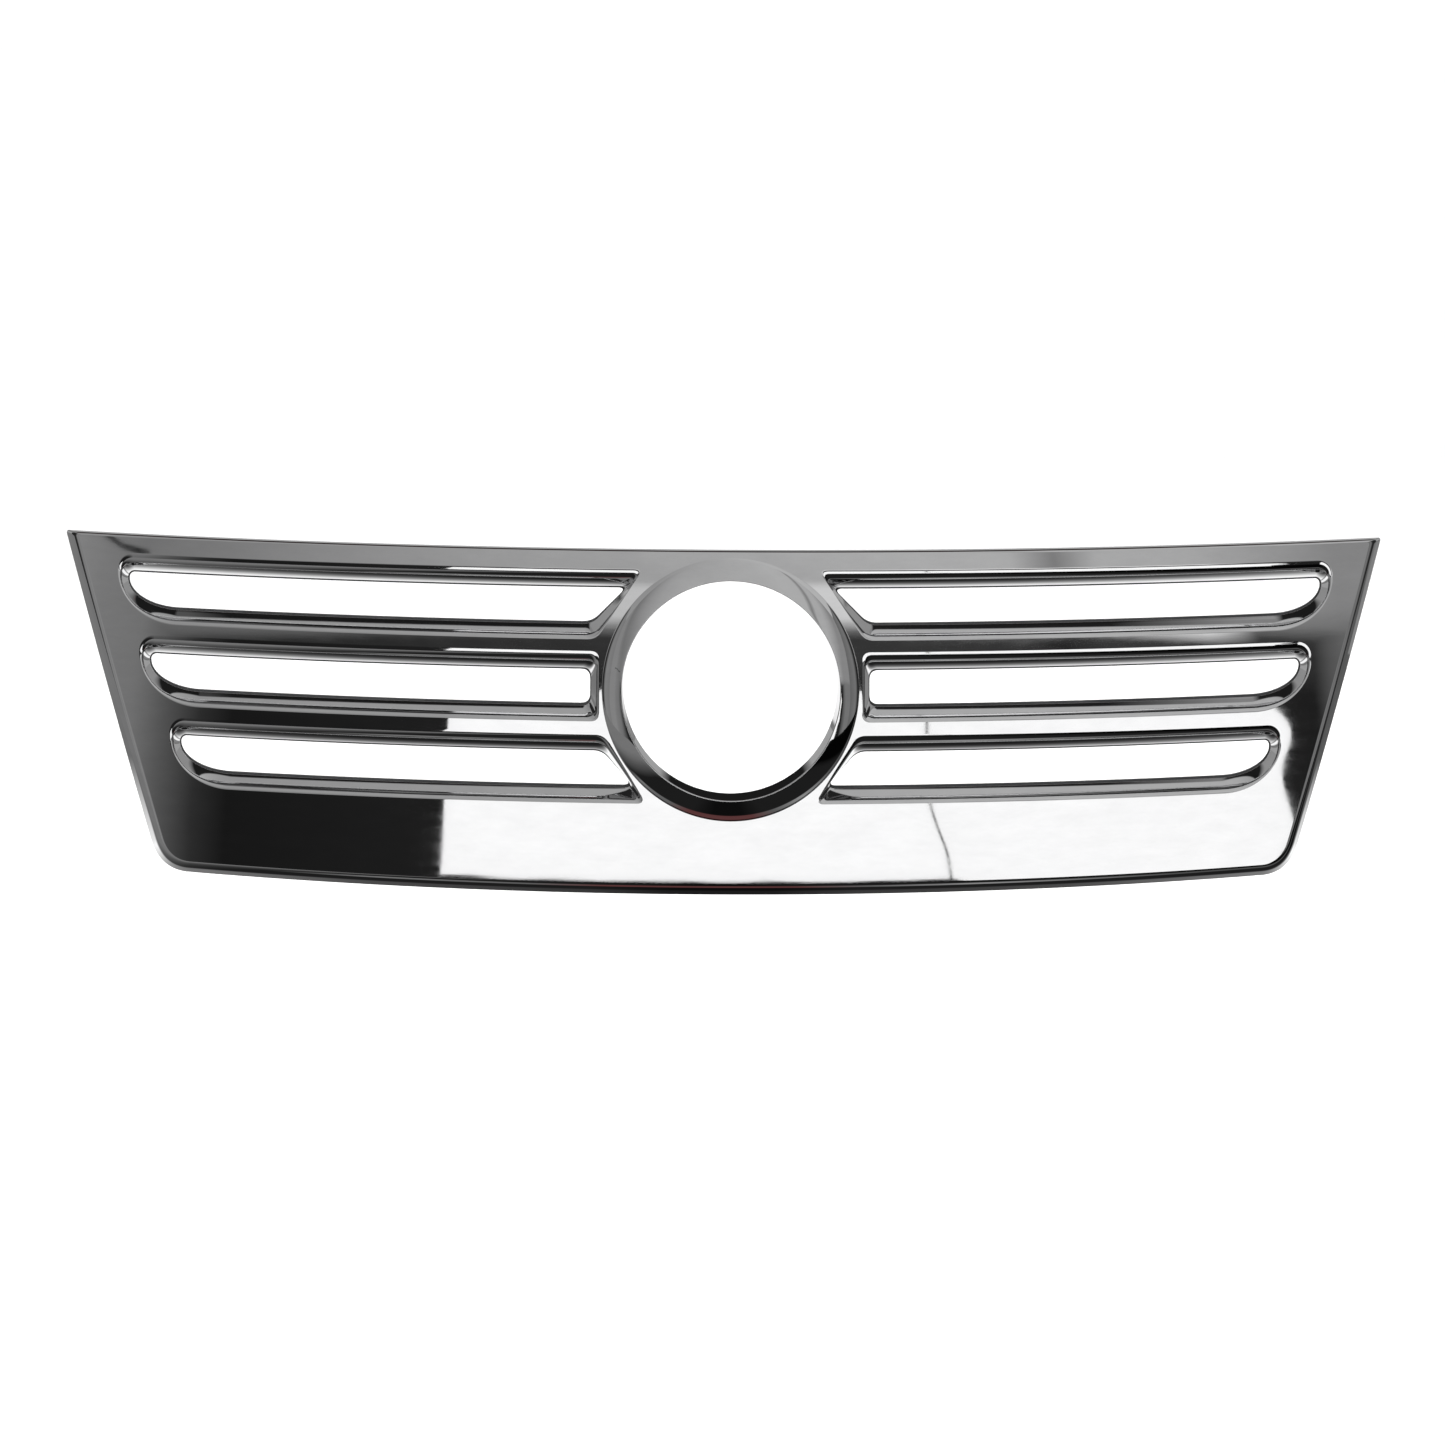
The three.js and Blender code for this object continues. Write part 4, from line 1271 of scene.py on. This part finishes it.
def table_reflection_tone(n):
    """Painted reflection under the part: black in front with a grey strip, red at its middle, then turning
    white behind.
    """
    backwards = n.along("Y", [
        (WALL_Y, 0.012), (0.02, 0.014), (0.06, 0.07), (0.12, 0.28), (0.2, 0.75), (0.28, 1.1),
        (TABLE_REAR, 1.1)])
    # Dimmer down the middle and at the far sides: painted reflection
    across = n.along("X", [
        (-0.8, 0.16), (-0.6, 1), (-0.1, 1), (-0.04, 0.35), (0.04, 0.35), (0.1, 1), (0.6, 1), (0.8, 0.10)])
    strip = n.along("Y", [(-0.28, 0), (-0.26, 1), (-0.16, 1), (-0.14, 0)])
    strip_tone = n.along("X", [
        (-0.4, 0), (-0.3, 0.20), (-0.16, 0.12), (-0.1, REFLECTED_RED), (0.06, REFLECTED_RED), (0.12, 0.12), (0.22, 0.30),
        (0.4, 0.10)])
    left = n.along("X", [(-1.0, 0.20), (-0.75, 0.16), (-0.5, 0.07), (-0.35, 0)])
    pairs = ((backwards, across), (strip, strip_tone))
    return n.joined("MAXIMUM", left, *[n.joined("MULTIPLY", *pair) for pair in pairs])


def rear_table_reflection_tone(n):
    """Painted reflection behind the part: white behind its middle, grey at the sides."""
    return n.along("X", [
        (-3, 0.20), (-1.0, 0.20), (-0.75, 0.9), (0, 1.1), (0.25, 0.7), (0.45, 0.28), (2, 0.2),
        (ROOM_HALF, 0.1)])


def flat_card(name, front_y, rear_y, z, tone):
    front, rear = (front_y, z), (rear_y, z)
    card(name, [(-ROOM_HALF, *front), (ROOM_HALF, *front), (ROOM_HALF, *rear), (-ROOM_HALF, *rear)], tone)


def painted_reflection_cards():
    """Painted reflections: a room of glowing cards that only the plating sees, with two white cards, dark
    walls, a grey ceiling and a table.
    """
    gap, right_edge = through(GAP_LINE, 8), through(RIGHT_LINE, 8)
    left = [(WHITE_LEFT, WHITE_HIGH), (WHITE_LEFT, WHITE_LOW), *(gap - (GAP_HALF, 0))]
    right = [*(gap + (GAP_HALF, 0)), *right_edge[::-1], (RIGHT_LINE[0][0], WHITE_RIGHT_LOW)]
    upright_card("white_card_left", left, CARD_Y, WHITE)
    upright_card("white_card_right", right, CARD_Y, WHITE)
    # A dark card that paints a dark line into the plating's reflection
    upright_card("painted_dark_reflection_line", wider(through(DARK_LINE, 8), DARK_HALF), CARD_Y, 0.01)
    wall = [(-ROOM_HALF, ROOM_FOOT), (ROOM_HALF, ROOM_FOOT), (ROOM_HALF, ROOM_TOP), (-ROOM_HALF, ROOM_TOP)]
    upright_card("front_wall", wall, WALL_Y, front_wall_reflection_tone)
    upright_card("rear_wall", wall, REAR_Y, rear_wall_reflection_tone)
    for name, x, tones in (("left_wall", -ROOM_HALF, (0.22, 0.25)), ("right_wall", ROOM_HALF, (0.15, 0.20))):
        front, rear = (x, WALL_Y), (x, REAR_Y)
        corners = [(*front, ROOM_FOOT), (*rear, ROOM_FOOT), (*rear, ROOM_TOP), (*front, ROOM_TOP)]
        card(name, corners, side_wall_reflection_tone(*tones))
    table = CAD_BOX[0][2] - TABLE_DROP
    # The ceiling, table and rear table are glowing cards: painted reflections above and below the part
    flat_card("ceiling", WALL_Y, REAR_Y, ROOM_TOP, ceiling_reflection_tone)
    flat_card("table", WALL_Y, TABLE_REAR, table, table_reflection_tone)
    flat_card("rear_table", TABLE_REAR, REAR_Y, table, rear_table_reflection_tone)


def floor():
    n = Nodes("pale_floor")
    speckle = n.noise(3, detail=3)
    n.set(Base_Color=n.ramp(speckle, [(0.3, 0.90), (0.7, 0.93)]), Roughness=0.9)
    z = CAD_BOX[0][2] - FLOOR_DROP
    corners = [(x * FLOOR_HALF, y * FLOOR_HALF, z) for x, y in ((-1, -1), (1, -1), (1, 1), (-1, 1))]
    stage_face("pale_floor", corners, n.material)


def area_light(name, place, power):
    light = bpy.data.lights.new(name, "AREA")
    light.shape = "DISK"
    light.size = LAMP_SIZE
    light.energy = power
    obj = placed(name, light)
    obj.location = place
    obj.rotation_euler = (Vector(LAMP_AIM) - Vector(place)).to_track_quat("-Z", "Y").to_euler()
    obj.visible_glossy = False


def lights():
    world = bpy.data.worlds.new("studio")
    world.use_nodes = True
    background = world.node_tree.nodes["Background"]
    background.inputs["Color"].default_value = (1, 1, 1, 1)
    background.inputs["Strength"].default_value = 1.12
    bpy.context.scene.world = world
    area_light("key", (-1.2, -1.6, 2.2), 40)
    area_light("rear", (1.4, 1.8, 1.8), 45)


# The camera: a long lens a little left of centre and above, aimed just below the badge
CAMERA_SIDE = math.radians(-1.79)
CAMERA_RISE = math.radians(11.24)
CAMERA_ROLL = math.radians(0.6)
CAMERA_DISTANCE = 2500
CAMERA_AIM = (-5.3, 0, -21.9)
LENS = 94.05
SENSOR = 36


def camera():
    turn = (Matrix.Rotation(CAMERA_SIDE, 4, "Z") @ Matrix.Rotation(math.pi / 2 - CAMERA_RISE, 4, "X")
            @ Matrix.Rotation(CAMERA_ROLL, 4, "Z"))
    data = bpy.data.cameras.new("camera")
    data.lens = LENS
    data.sensor_width = SENSOR
    data.clip_end = 200
    obj = placed("camera", data)
    back = Matrix.Translation((0, 0, CAMERA_DISTANCE * MM))
    obj.matrix_world = Matrix.Translation(row(CAMERA_AIM)) @ turn @ back
    bpy.context.scene.camera = obj


# ---- Build ----
camera()
lights()
floor()
painted_reflection_cards()
fascia()
carrier()
badge_ring()
fascia_screws()
ring_screws()
for number in range(1, 5):
    retainer_body(number)
    retainer_pin(number)
    spring_clip(number)
for side_name in ("left", "right"):
    grommet(f"grommet_{side_name}")
    rest_pad(f"rest_pad_{side_name}")
top_seal()

bpy.context.scene.view_settings.view_transform = "Standard"
